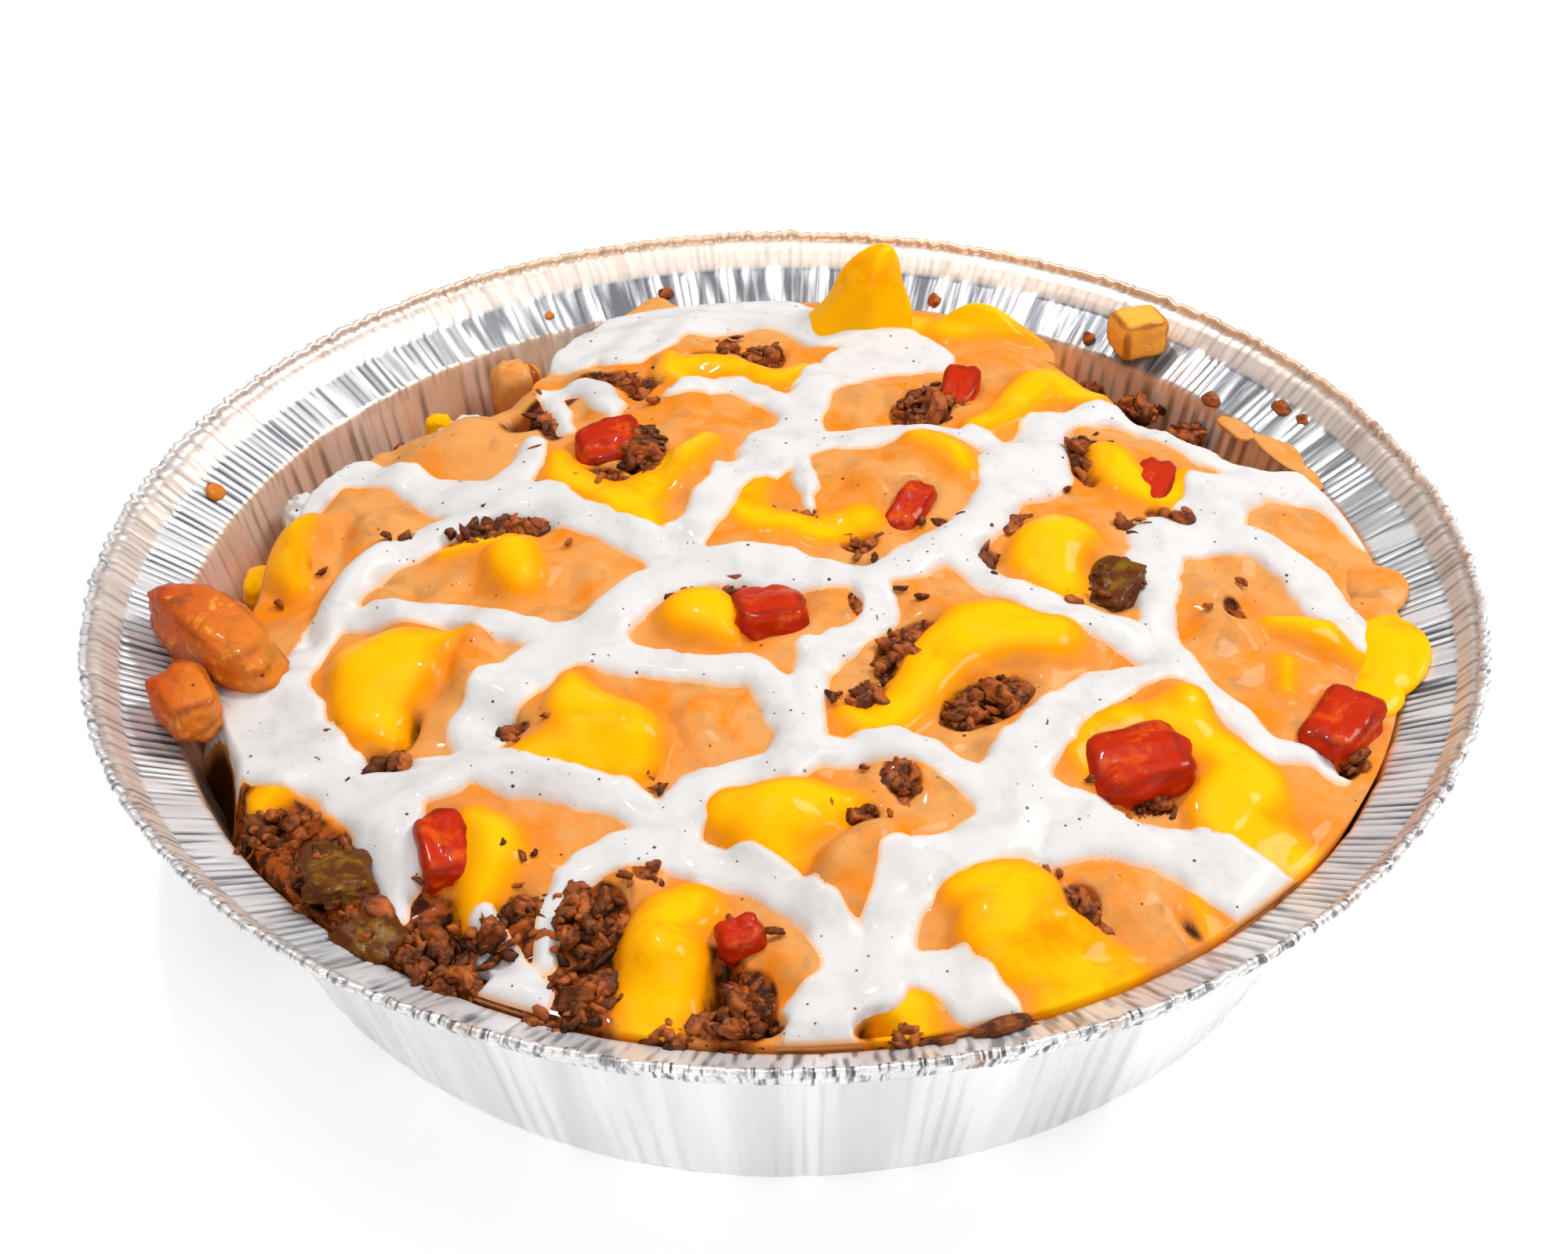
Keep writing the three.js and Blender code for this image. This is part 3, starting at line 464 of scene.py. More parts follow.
def fry_ridges(x, y):
    """Rounded ridges where sauce lies over fries: capsules at random places and turns, joined by a
    smooth maximum."""
    rng = np.random.default_rng(SEEDS["ridges"])
    total = np.ones_like(x)
    for _ in range(RIDGES):
        r = RIDGE_FIELD * math.sqrt(rng.random())
        place, lie = rng.uniform(0, TAU), rng.uniform(0, math.pi)
        half, width, height = (rng.uniform(*span) for span in (RIDGE_LENGTH, RIDGE_WIDTH, RIDGE_HEIGHT))
        along, across = turned(x - r * math.cos(place), y - r * math.sin(place), math.degrees(lie))
        d = np.hypot(np.maximum(np.abs(along) - half, 0), across)
        total += np.exp(RIDGE_SHARPNESS * height * clamp(1 - (d / width) ** 2) ** 1.3) - 1
    return np.log(total) / RIDGE_SHARPNESS


def lump_rise(x, y):
    """Rise of the lumps and of the fries under the sauce."""
    return SAUCED_SHARE * (bumps(x, y, LUMPS) + fry_ridges(x, y))


def topping_share(x, y, kinds, spread):
    """From 1 over a topping to 0 a few millimetres away, so that toppings sit in hollows."""
    share = np.zeros_like(x)
    for kind in kinds:
        for name, (length, width, _, turn) in kind.items():
            low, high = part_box(name)
            middle = (low + high) / 2 / MM
            along, across = turned(x - middle.x, y - middle.y, turn)
            d = (np.hypot(along / length, across / width) - 0.42) * (length + width) / 2
            share = np.maximum(share, 1 - ease(d / spread))
    return share


def meat_share(x, y):
    """From 1 where beef shows between the sauces to 0 a little way off. The finish paints it brown, with
    painted shade of dark hollows.
    """
    share = ease((inset(x, y, MEAT, 1.5) + 1.5) / 4)
    share = np.maximum(share, topping_share(x, y, (BEEF,), 1.8))
    for k, (mid_x, mid_y, length, width) in enumerate(BEEF_BITS):
        along, across = turned(x - mid_x, y - mid_y, sway(k))
        share = np.maximum(share, ease(1.6 * (1.3 - np.hypot(along / length, across / width) * 2)))
    return share


def blurred(field, x, reach):
    """A height field smoothed over a reach in millimetres, by a bell-shaped weight along each axis."""
    cell = (x.max() - x.min()) / (len(x) - 1)
    n = int(3 * reach / cell)
    weights = np.exp(-0.5 * (np.arange(-n, n + 1) * cell / reach) ** 2)
    weights /= weights.sum()
    for _ in range(2):
        wide = np.pad(field, ((n, n), (0, 0)), "edge")
        field = sum(w * wide[k:k + len(field)] for k, w in enumerate(weights)).T
    return field


def bed_top(x, y, settings, cheese, smooth=0.0):
    """Height of the sauced fries: the heap, its lumps and ridges less its gaps, and the cheese on it.
    Thick sauce smooths the forms below it, and toppings sit in hollows. The relief fades out over the
    last few millimetres to the wall, where the food rises to the lip as a brim."""
    r = np.hypot(x, y)
    fade = clamp((DOME_RADIUS - 0.5 - r) / 9)
    points = np.stack([x, y], -1)
    relief = lump_rise(x, y) + 0.2 * ripples(points, 9, 3)
    meat = meat_share(x, y)
    relief = relief * (1 - 0.6 * topping_share(x, y, (TOMATO, PEPPER, BEEF), 4.0)) - bumps(x, y, GAPS)
    thick = settings.cheese_thickness / MM
    layer = thick * ease((cheese + 0.9) / 2.6) + 0.5 * ease(cheese / 6)
    covered = ease((cheese + 0.6) / 2)
    relief = relief + (blurred(relief, x, 2.2) - relief) * 0.8 * covered
    relief = relief + layer * 0.9 - 0.6 * meat * (1 - covered)
    if smooth:
        relief = blurred(relief, x, smooth)
    wall = bumps(x, y, WALL_GAPS) * clamp((101 - r) / 1.5)
    brim = 0.9 * ease((r - 94) / 5) * ease((heap_top(x, y) - LIP_HEIGHT + 1.6) / 1.2)
    return heap_top(x, y) + relief * fade + brim - wall - 0.2


# Meshes

def build_mesh(name, vertices, quads=None, triangles=None, values=None):
    """A smooth-shaded mesh object from millimetre arrays, with float attributes on its points."""
    mesh = bpy.data.meshes.new(name)
    loops, starts, totals, at = [], [], [], 0
    for faces, size in ((quads, 4), (triangles, 3)):
        if faces is None or not len(faces):
            continue
        faces = np.asarray(faces, np.int32)
        loops.append(faces.ravel())
        starts.append(at + np.arange(len(faces), dtype=np.int32) * size)
        totals.append(np.full(len(faces), size, np.int32))
        at += faces.size
    mesh.vertices.add(len(vertices))
    mesh.vertices.foreach_set("co", (np.asarray(vertices, float) * MM).astype(np.float32).ravel())
    mesh.loops.add(at)
    mesh.loops.foreach_set("vertex_index", np.concatenate(loops))
    mesh.polygons.add(sum(map(len, starts)))
    mesh.polygons.foreach_set("loop_start", np.concatenate(starts))
    mesh.polygons.foreach_set("loop_total", np.concatenate(totals))
    mesh.update(calc_edges=True)
    mesh.shade_smooth()
    for key, value in (values or {}).items():
        value = np.asarray(value, np.float32)
        kind, field = ("FLOAT", "value") if value.ndim == 1 else ("FLOAT_VECTOR", "vector")
        layer = mesh.attributes.new(key, kind, "POINT")
        layer.data.foreach_set(field, value.ravel())
    made = bpy.data.objects.new(name, mesh)
    bpy.context.scene.collection.objects.link(made)
    return made


def grid_quads(rows, columns, wrap=False):
    """Corners of the quads between neighbouring rows and columns of a grid of points."""
    i = np.arange(rows - 1)[:, None]
    j = np.arange(columns if wrap else columns - 1)[None, :]
    k = (j + 1) % columns
    return np.stack([i * columns + j, i * columns + k, (i + 1) * columns + k, (i + 1) * columns + j],
                    -1).reshape(-1, 4)


def disc_map(cells):
    """An even grid of the square laid onto the unit disc, ring by square ring."""
    s = np.linspace(-1, 1, cells + 1)
    a, b = np.meshgrid(s, s, indexing="ij")
    wide = np.abs(a) > np.abs(b)
    r = np.where(wide, a, b)
    with np.errstate(divide="ignore", invalid="ignore"):
        turn = np.where(wide, math.pi / 4 * b / a, math.pi / 2 - math.pi / 4 * a / b)
    turn = np.nan_to_num(turn)
    return r * np.cos(turn), r * np.sin(turn)


def food_grid(cells, margin):
    """The disc map stretched to the pan's wall at the height of the food there, less a margin, and
    the room from each place to that edge."""
    u, v = disc_map(cells)
    azimuth = np.arctan2(v, u)
    rim_z = heap_top(WALL_SIDE * np.cos(azimuth), WALL_SIDE * np.sin(azimuth))
    radius = wall_radius(rim_z) - margin
    return u * radius, v * radius, radius * (1 - np.hypot(u, v))


def square_loop(cells):
    """Indices of a square grid's border, anticlockwise."""
    n = cells + 1
    i = np.arange(cells)
    return np.concatenate([i * n, cells * n + i, (cells - i) * n + cells, cells - i])


def masked_shell(x, y, top, low, keep):
    """A closed thin solid from a height field: the kept quads above and below, and a skirt round
    every border, found as the directed edges that have no twin."""
    rows, columns = x.shape
    quads = grid_quads(rows, columns)[:, [0, 3, 2, 1]]
    quads = quads[keep.ravel()[quads].any(1)]
    used, index = np.unique(quads, return_inverse=True)
    quads = index.reshape(-1, 4)
    count = len(used)
    upper = np.stack([x.ravel()[used], y.ravel()[used], top.ravel()[used]], -1)
    under = np.stack([x.ravel()[used], y.ravel()[used], low.ravel()[used]], -1)
    edges = np.concatenate([quads[:, [k, (k + 1) % 4]] for k in range(4)])
    codes = edges[:, 0].astype(np.int64) * count + edges[:, 1]
    twins = edges[:, 1].astype(np.int64) * count + edges[:, 0]
    border = edges[~np.isin(codes, twins)]
    skirt = np.stack([border[:, 1], border[:, 0], border[:, 0] + count, border[:, 1] + count], -1)
    faces = np.concatenate([quads, quads[:, ::-1] + count, skirt])
    return np.concatenate([upper, under]), faces, used


def pole_caps(around, last, count):
    """Triangles that close a grid's first ring on point number count, and the ring that starts at
    last on the next point."""
    j = np.arange(around)
    k = (j + 1) % around
    return np.concatenate([np.stack([k, j, np.full(around, count)], -1),
                           np.stack([last + j, last + k, np.full(around, count + 1)], -1)])


def ball_grid(around, down):
    """Points of a unit ball from longitude and latitude, its poles last, with its quads and caps."""
    lon = turns(around)
    lat = (np.arange(1, down) / down - 0.5) * math.pi
    ring = np.stack([np.outer(np.cos(lat), np.cos(lon)), np.outer(np.cos(lat), np.sin(lon)),
                     np.repeat(np.sin(lat)[:, None], around, 1)], -1).reshape(-1, 3)
    points = np.vstack([ring, [[0, 0, -1]], [[0, 0, 1]]])
    return points, grid_quads(down - 1, around, True), pole_caps(around, (down - 2) * around, len(ring))


def block(points, size, squareness):
    """Unit-ball points pushed out to a rounded block, whose n-th powers of x, y and z add up to 1: an
    egg at a squareness n of 2, a block at 4 and more."""
    reach = (np.abs(points) ** squareness).sum(-1) ** (-1 / squareness)
    return points * reach[:, None] * np.array(size, float) / 2


def edge_value(points, size):
    """0 on the middle of a block's faces, up to 1 at its edges and corners."""
    share = np.sort(np.abs(points) / (np.array(size, float) / 2), axis=1)
    return clamp((share[:, 1] - 0.55) / 0.35)


def turn_about(points, degrees_z, degrees_x=0.0, degrees_y=0.0):
    """Points turned about X, then Y, then Z."""
    made = Matrix.Rotation(math.radians(degrees_z), 3, "Z")
    made = made @ Matrix.Rotation(math.radians(degrees_y), 3, "Y")
    made = made @ Matrix.Rotation(math.radians(degrees_x), 3, "X")
    return points @ np.array(made).T


def join_parts(parts):
    """Several (vertices, quads, triangles, values) parts as one set of arrays. A value that a part
    lacks is 0 there."""
    vertices, quads, triangles, at = [], [], [], 0
    for points, four, three, _ in parts:
        vertices.append(points)
        quads.append(np.asarray(four) + at)
        triangles.append(np.asarray(three) + at)
        at += len(points)
    keys = sorted({key for part in parts for key in part[3]})
    values = {key: np.concatenate([part[3].get(key, np.zeros(len(part[0]))) for part in parts])
              for key in keys}
    return np.concatenate(vertices), np.concatenate(quads), np.concatenate(triangles), values


def make_piece(settings, name, parts, finish, nodes=()):
    """A piece joined from its parts, with its finish and the nodes that it stands for."""
    made = build_mesh(name, *join_parts(parts))
    made.data.materials.append(finish(settings))
    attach(made, "root")
    if nodes:
        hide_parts(*nodes)


def each(points, **values):
    """Values that are the same at all points."""
    return {key: np.full(len(points), float(value)) for key, value in values.items()}


def node_middle(name):
    """Middle of a solid's box, in millimetres."""
    low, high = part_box(name)
    return np.array((low + high) / 2) / MM


# Forms

def pan_profile(lean):
    """The foil's section as stops of radius, height, and the shares of wall pleats, ledge creases,
    rim crimps, flange and hem: up the outside, over the bead and down the inside."""
    stops = []

    def stretch(start, end, shares, places):
        """Stops between two corners, each a radius and a height, with the same shares."""
        for t in places:
            stops.append((start[0] + (end[0] - start[0]) * t, start[1] + (end[1] - start[1]) * t, *shares))

    low = LEDGE_HEIGHT - FOIL
    out = LEDGE_RADIUS + FOIL
    flat, wall, rim = (0, 0, 0, 0, 0), (1, 0, 0, 0, 0), (0, 0.4, 1, 0, 1)
    wall_foot, wall_head = (BASE_RADIUS, 3), (LIP_RADIUS, LIP_HEIGHT - 1.2)
    stretch((0, 0), (60, 0), flat, (0.5, 1))
    stops.append((80, 0, 0.1, 0, 0, 0, 0))
    stops.append((BASE_RADIUS - 3, 0, 0.2, 0, 0, 0, 0))
    stops.append((BASE_RADIUS - 1.1, 0.8, 0.5, 0, 0, 0, 0))
    stops.append((BASE_RADIUS - 0.1, 2.6, *wall))
    stretch(wall_foot, wall_head, wall, np.linspace(0.08, 1, 9))
    for t in (0.1, 0.3, 0.55, 0.8, 0.95):
        shares = (0.4 * (1 - t), 1, 0.3, 0, 0.3)
        stretch((LIP_RADIUS, LIP_HEIGHT - 1), (out, low), shares, (t,))
    stretch((out, low), (out + lean * 0.8, RIM_HEIGHT - 1.1), rim, (0.04, 0.3, 0.6, 0.9))
    for a in np.radians(np.linspace(-40, 220, 8)):
        stops.append((LEDGE_RADIUS + 0.1 + lean + 0.75 * math.cos(a), RIM_HEIGHT - 0.7 + 0.7 * math.sin(a),
                      0, 0.3, 1, 0.3, 1))
    corner = (LEDGE_RADIUS - FOIL, LEDGE_HEIGHT)
    stretch(corner, (corner[0] + lean * 0.8, RIM_HEIGHT - 1), (0, 0.5, 1, 1, 0), (0.85, 0.6, 0.35, 0.08))
    ledge_places = (0.97, 0.9, 0.75, 0.6, 0.45, 0.3, 0.15, 0.05)
    stretch((LIP_RADIUS, LIP_HEIGHT), corner, (0, 1, 0.2, 0, 0), ledge_places)
    stops.append((LIP_RADIUS - 0.35, LIP_HEIGHT - 0.25, 0.3, 0.8, 0, 0, 0))
    stops.append((LIP_RADIUS - 0.7, LIP_HEIGHT - 1, 0.7, 0.4, 0, 0, 0))
    inner_foot, inner_head = ((r - FOIL, z) for r, z in (wall_foot, wall_head))
    stretch(inner_foot, inner_head, wall, (0.93, 0.8, 0.62, 0.44, 0.26, 0.08))
    stops.append((BASE_RADIUS - 1.7, 1.6, 0.5, 0, 0, 0, 0))
    stops.append((BASE_RADIUS - 3.6, FOIL, 0.2, 0, 0, 0, 0))
    stops.append((60, FOIL, *flat))
    return np.array(stops)


def foil_pan_mesh(settings):
    """The pan: its section carried round, with uneven pleats and creases as waves of the turn. The
    radius gains pleats on the wall and crimps on the rim, and loses the folds. The ledge sinks in its
    folds. The shares of folds, flange, hem and inside go with the mesh for its finish, which paints
    shade in the folds; the fold share also darkens the ledge at the back as a painted reflection."""
    around = PAN_AROUND
    turn = turns(around)
    lean = RIM_LEAN + RIM_LEAN_BACK * np.sin(turn) - RIM_LEAN_LEFT * np.cos(turn)
    upright, slanted = pan_profile(0.0), pan_profile(1.0)
    r = upright[:, :1] + (slanted - upright)[:, :1] * lean
    z = np.repeat(upright[:, 1:2], around, 1)
    length = np.concatenate([[0], np.cumsum(np.hypot(*np.diff(upright[:, :2], axis=0).T))])
    ring = np.stack([np.cos(turn), np.sin(turn)], -1) * 100
    drift = np.repeat(length[:, None], around, 1) * 0.05

    def waves(pitch, seed, slide):
        there = np.concatenate([np.repeat(ring[None], len(r), 0), (drift * slide)[..., None]], -1)
        return ripples(there.reshape(-1, 3), pitch, seed, 18).reshape(r.shape)

    def folds(count, wander, pitch, seed, low, soft):
        """Narrow folds at an even count round the pan that bend, fade and start again: the sine of
        the turn, bent by a slow wave and lifted by a quicker one, eased up from low."""
        wave = np.sin(count * turn + wander * waves(25, seed, 2))
        return ease((wave + 0.75 * waves(pitch, seed + 1, 4) - low) / soft)

    pleat = waves(7.5, 21, 1.5) * 0.45 + waves(3.4, 22, 2) * 0.3
    crimp = waves(2.1, 26, 1) * 0.8 + waves(9.0, 27, 2) * 0.4
    wall, ledge, rim, flange, hem = upright.T[2:7, :, None]
    inner_stops = 11
    within = (np.arange(len(upright)) >= len(upright) - inner_stops)[:, None] * 1.0
    near_back = np.cos(turn - math.radians(60))
    near_front = 0.5 - 0.5 * np.sin(turn)
    behind = clamp(1.4 * np.cos(turn - math.radians(75)) - 0.1)
    # The ledge: painted shade in even folds, broken ones behind, and ragged ones at the very front.
    deep = folds(FOLDS, 4, 4, 31, 0.12 - 0.14 * near_back, 0.7) * (1 - 0.25 * behind)
    # Dark broken patches on the ledge behind: a painted reflection of the dark room above.
    deep = np.maximum(deep, 0.95 * behind * ease(0.6 + 0.9 * waves(3.5, 45, 3)))
    noisy = 0.8 * ease(waves(1.4, 43, 3) * 1.4 + waves(6, 44, 3) * 0.5 - 0.2)
    deep = (deep + (noisy - deep) * near_front**8) * clamp(ledge - flange) * (1 - hem)
    # Painted shade in the hem's crimps, the flange's folds, and the folds inside and outside the wall.
    crimps = ease(waves(1.3, 33, 6) * 1.1 + waves(6, 34, 3) * 0.6 - 0.1 + 0.9 * near_front)
    deep = np.maximum(deep, crimps * hem * (0.35 + 0.65 * near_front))
    deep = np.maximum(deep, folds(FOLDS, 9, 2, 39, 0.2, 1.0) * flange * (0.25 + 0.6 * near_front))
    inside = folds(FOLDS // 2, 5, 9, 35, 0.2 - 0.5 * near_back, 1.2) * within * (1 - ledge)
    deep = np.maximum(deep, inside * 0.75)
    deep = np.maximum(deep, folds(FOLDS // 2, 6, 12, 37, 0.3, 1.4) * (1 - within) * wall * 0.2)
    depth = settings.crease_depth / MM
    ragged = waves(1.7, 41, 2) * hem
    r = r + wall * (pleat * 1.6 - deep * 0.9) * depth + rim * (crimp - deep + ragged * 1.4) * depth * 0.8
    z = z - ledge * deep * depth * 1.5 + rim * (crimp + ragged * 2) * depth * 0.3
    vertices = np.stack([r * np.cos(turn), r * np.sin(turn), z], -1).reshape(-1, 3)
    count = len(vertices)
    vertices = np.vstack([vertices, [[0, 0, 0]], [[0, 0, FOIL]]])
    caps = pole_caps(around, (len(r) - 1) * around, count)
    run = np.concatenate([np.repeat(length, around), [0, length[-1]]])
    span = np.concatenate([np.tile(ring, (len(r), 1)), [[0, 0], [0, 0]]])
    crease_space = np.column_stack([span, run * 0.08])
    # The folds' share, which the finish paints as shade.
    shares = {"fold": np.concatenate([deep.ravel(), [0, 0]])}
    for key, share in (("flange", flange), ("hem", hem), ("within", within), ("tan", hem * behind)):
        shares[key] = np.concatenate([(share + 0 * r).ravel(), [0, 0]])
    return vertices, grid_quads(len(r), around, True), caps, {"crease": crease_space, **shares}


def heap_mesh(settings):
    """The sauced heap: the bed's height field on the even disc, with a side down the wall and a base."""
    cells = HEAP_CELLS
    x, y, _ = food_grid(cells, FOOD_GAP)
    cheese = inset(x, y, CHEESE, 1.2)
    top = bed_top(x, y, settings, cheese)
    loop = square_loop(cells)
    points = [np.stack([x, y, top], -1).reshape(-1, 3)]
    border = points[0][loop]
    quads = [grid_quads(cells + 1, cells + 1)[:, [0, 3, 2, 1]]]
    count, upper = len(points[0]), loop
    size = len(loop)
    j = np.arange(size)
    for level, drawn_in in ((0.66, 0), (0.33, 0), (0.0, 0.8)):
        z = FOOD_FLOOR + (border[:, 2] - FOOD_FLOOR) * level
        squeeze = (wall_radius(z) - FOOD_GAP - drawn_in) / np.hypot(border[:, 0], border[:, 1])
        points.append(np.stack([border[:, 0] * squeeze, border[:, 1] * squeeze, z], -1))
        lower = count + j
        quads.append(np.stack([upper[j], lower[j], lower[(j + 1) % size], upper[(j + 1) % size]], -1))
        upper, count = lower, count + size
    points.append(np.array([[0, 0, FOOD_FLOOR]]))
    fan = np.stack([upper[(j + 1) % size], upper[j], np.full(size, count)], -1)
    vertices = np.concatenate(points)
    edge = edge_radius(np.degrees(np.arctan2(y, x)))
    # The heap's fall to the wall, which the finish darkens as painted shade.
    side = clamp((np.hypot(x, y) - edge - 1) / 8) * clamp((101 - edge) / 6)
    # Share of painted shade in the gaps and the hollows at the wall.
    gap = clamp(bumps(x, y, GAPS) / 4 + bumps(x, y, WALL_GAPS) / 3)
    values = each(vertices, cheese=NO_CHEESE, gap=0, meat=0, side=1)
    for key, field in (("cheese", cheese), ("gap", gap), ("meat", meat_share(x, y)), ("side", side)):
        values[key][:x.size] = field.ravel()
    return vertices, np.concatenate(quads), fan, values


def ranch_mesh(settings):
    """The ranch: a sheet over the bed whose thickness rises steeply from its edge and then slowly,
    t = a (1 - e^(-i / 0.9)) + b (1 - e^(-i / 4)) for a place i inside its edge."""
    x, y, room = food_grid(RANCH_CELLS, RANCH_GAP)
    points = np.stack([x, y], -1)
    spread = 0.45 * ripples(points, 11, 51) + 0.22 * ripples(points, 4.5, 52)
    inside = np.minimum(inset(x, y, RANCH, 0.35) + spread - 4 * bumps(x, y, WALL_GAPS), room)
    cheese = inset(x, y, CHEESE, 1.2)
    bed = bed_top(x, y, settings, cheese)
    over = bed_top(x, y, settings, cheese, 1.6)
    depth = settings.ranch_thickness / MM
    up = np.maximum(inside, 0)
    rise = depth * (1 - np.exp(-up / 0.9)) + 0.45 * depth * (1 - np.exp(-up / 4))
    rise = np.where(inside < 0, 1.8 * inside, rise)
    top = np.maximum(bed + 0.3 * rise, bed + (over - bed) * ease(inside / 1.5) + rise)
    vertices, quads, used = masked_shell(x, y, top, bed - 1.4, inside > -0.75)
    thin = np.concatenate([clamp(1 - inside.ravel()[used] / 1.6), np.ones(len(used))])
    return vertices, quads, np.zeros((0, 3), int), {"thin": thin}


def chunk_part(size, squareness, middle, turn, rough, seed, around=44, down=28, tilt=(0, 0), pitch=0.5):
    """A rounded block with uneven sides: unit directions pushed to a block, times one plus noise."""
    points, quads, caps = ball_grid(around, down)
    swell = ripples(points * 10, 10 * pitch, seed) + 0.4 * ripples(points * 10, 3, seed + 1)
    shaped = block(points, size, squareness) * (1 + rough * swell)[:, None]
    edge = edge_value(shaped, size)
    shaped = turn_about(shaped, turn, *tilt) + np.asarray(middle, float)
    return shaped, quads, caps, {"edge": edge}


def crumb_part(middle, size, turn, tilt, bend, seed, around, down):
    """One lump or strand of ground beef: an uneven egg bent sideways along its length."""
    points, quads, caps = ball_grid(around, down)
    swell = 1 + 0.24 * ripples(points * 10, 10, seed, 8)
    shaped = points * np.array(size) / 2 * swell[:, None]
    shaped[:, 1] += bend * size[0] / 2 * (points[:, 0] ** 2 - 0.4)
    return turn_about(shaped, turn, *tilt) + np.asarray(middle, float), quads, caps, {}


def beef_cluster(middle, size, turn, seed):
    """A piece of crumbled beef: lumps and bent strands set in a spiral over the upper side of a dark
    core, painted as shade, if it is large enough for one. Their lightness rises with height in the
    piece, so that the hollows between them are dark with painted shade."""
    rng = np.random.default_rng(seed)
    size = np.array(size, float)
    area = size[0] * size[1]
    parts = []
    if area > CORE_AREA:
        # The core is painted dark, as shade under the crumbs.
        core = chunk_part(size * (0.7, 0.7, 0.5), 2.2, middle - (0, 0, 0.8), turn, 0.12, seed, 26, 16)
        parts.append((*core[:3], each(core[0], shade=0.2)))
    # Coarse, middling and fine crumbs: how many, least and most length and width, faces, and reach.
    kinds = ((round(area / 60), (4.6, 8.0), (2.4, 3.8), 20, 13, 0.6),
             (round(area / 30) + 1, (2.8, 5.2), (1.9, 3.2), 16, 11, 0.7),
             (round(0.3 * area) + 5, (1.8, 4.4), (1.0, 2.0), 10, 7, 1.04))
    for count, lengths, widths, around, down, spread in kinds:
        start = rng.uniform(0, TAU)
        for k in range(count):
            out = spread * math.sqrt((k + rng.uniform(0.2, 0.8)) / count) * rng.uniform(0.8, 1.4)
            a = start + k * GOLDEN_TURN + rng.uniform(-0.6, 0.6)
            height = math.sqrt(max(0.0, 1 - min(out, 1) ** 2)) * 0.5 + rng.uniform(-0.3, 0.15)
            there = np.array([[math.cos(a) * out, math.sin(a) * out, height]]) * size / 2
            there = turn_about(there, turn)[0] + middle
            wide = rng.uniform(*widths)
            shape = (rng.uniform(*lengths), wide, wide * rng.uniform(0.75, 1.0))
            part = crumb_part(there, shape, rng.uniform(0, 180), (rng.normal(0, 30), rng.normal(0, 26)),
                              rng.uniform(-0.5, 0.5), seed * 97 + len(parts), around, down)
            # Painted shade: lower points darker, with a random share for each crumb.
            level = (part[0][:, 2] - middle[2]) / size[2] + 0.35
            lit = clamp(0.9 * level + 0.7 * rng.random() ** 1.8 - 0.2)
            parts.append((*part[:3], {"shade": lit}))
    return parts


def strewn_crumbs():
    """Tiny crumbs of beef that lie on the sauce round the pieces, and a few on each pepper, at random
    places from a seed."""
    rng = np.random.default_rng(SEEDS["strewn"])
    sources = [(*node_middle(name)[:2], *size[:2]) for name, size in BEEF.items()] + list(BEEF_BITS)
    parts = []
    for k, (x, y, length, width) in enumerate(sources * 2):
        a, out = rng.uniform(0, TAU), rng.uniform(0.55, 1.1)
        there = np.array([x + math.cos(a) * (out * length + 1), y + math.sin(a) * (out * width + 1)])
        if np.hypot(*there) > WALL_SIDE:
            continue
        # Half width and length of the crumb.
        low, high = rng.uniform(0.7, 1.3), rng.uniform(1.4, 3.4)
        at = there[:, None]
        z = float((heap_top(*at) + lump_rise(*at) - bumps(*at, GAPS))[0])
        part = crumb_part((*there, z + 0.5), (high, low, low), rng.uniform(0, 180), (0, 0), 0.3,
                          SEEDS["strewn_shapes"] + k, 8, 6)
        parts.append((*part[:3], each(part[0], shade=rng.uniform(0.3, 0.9))))
    for name, (length, width, height, turn) in PEPPER.items():
        for k in range(CRUMBS_ON_PEPPER):
            a, out = rng.uniform(0, TAU), math.sqrt(rng.uniform(0.1, 1))
            there = np.array([[math.cos(a) * length, math.sin(a) * width, 0]]) * out * 0.46
            there = turn_about(there, turn)[0] + node_middle(name)
            there = there + (0, 0, 0.33 * height * math.sqrt(1.1 - out**2) - 0.2)
            shape = (rng.uniform(2, 4.4), rng.uniform(1, 1.9), 1.3)
            part = crumb_part(there, shape, rng.uniform(0, 180), (0, 0), 0.5,
                              SEEDS["pepper_crumbs"] + k, 10, 7)
            parts.append((*part[:3], each(part[0], shade=rng.uniform(0.3, 0.9))))
    return parts


def held_parts(parts):
    """Parts with their points drawn in from the pan's wall."""
    return [(held(part[0]), *part[1:]) for part in parts]


def fry_part(start, end, side, bow, roll, seed):
    """A fry: a rounded square section, the superellipse of power 5, carried along a bowed line. It is
    drawn in at its ends by sqrt(1 - |2 t - 1|^9) for a share t of its length."""
    start, end = np.array(start, float), np.array(end, float)
    along = (end - start) / np.linalg.norm(end - start)
    across = np.cross([0, 0, 1], along)
    across /= np.linalg.norm(across)
    up = np.cross(along, across)
    around, steps = 32, 22
    t = 0.5 - 0.5 * np.cos(np.linspace(0.04, 0.96, steps) * math.pi)
    a = turns(around)
    reach = (np.abs(np.cos(a)) ** 5 + np.abs(np.sin(a)) ** 5) ** (-1 / 5)
    u, v = np.cos(a + roll) * reach, np.sin(a + roll) * reach
    edge = clamp((reach - 1.06) / 0.1)
    fullness = (1 - np.abs(2 * t - 1) ** 9)[:, None] ** 0.5 * side / 2
    middle = start + (end - start) * t[:, None] + across * (bow * np.sin(math.pi * t))[:, None]
    points = middle[:, None] + fullness[..., None] * (u[None, :, None] * across + v[None, :, None] * up)
    points = points.reshape(-1, 3)
    points = points + 0.22 * ripples(points, 7, seed)[:, None] * up
    caps = pole_caps(around, (steps - 1) * around, len(points))
    points = np.vstack([points, middle[0] - along * 0.1, middle[-1] + along * 0.1])
    edge = np.concatenate([np.tile(edge, steps), [1, 1]])
    return held(points), grid_quads(steps, around, True), caps, {"edge": edge, **each(points, pale=0.6)}


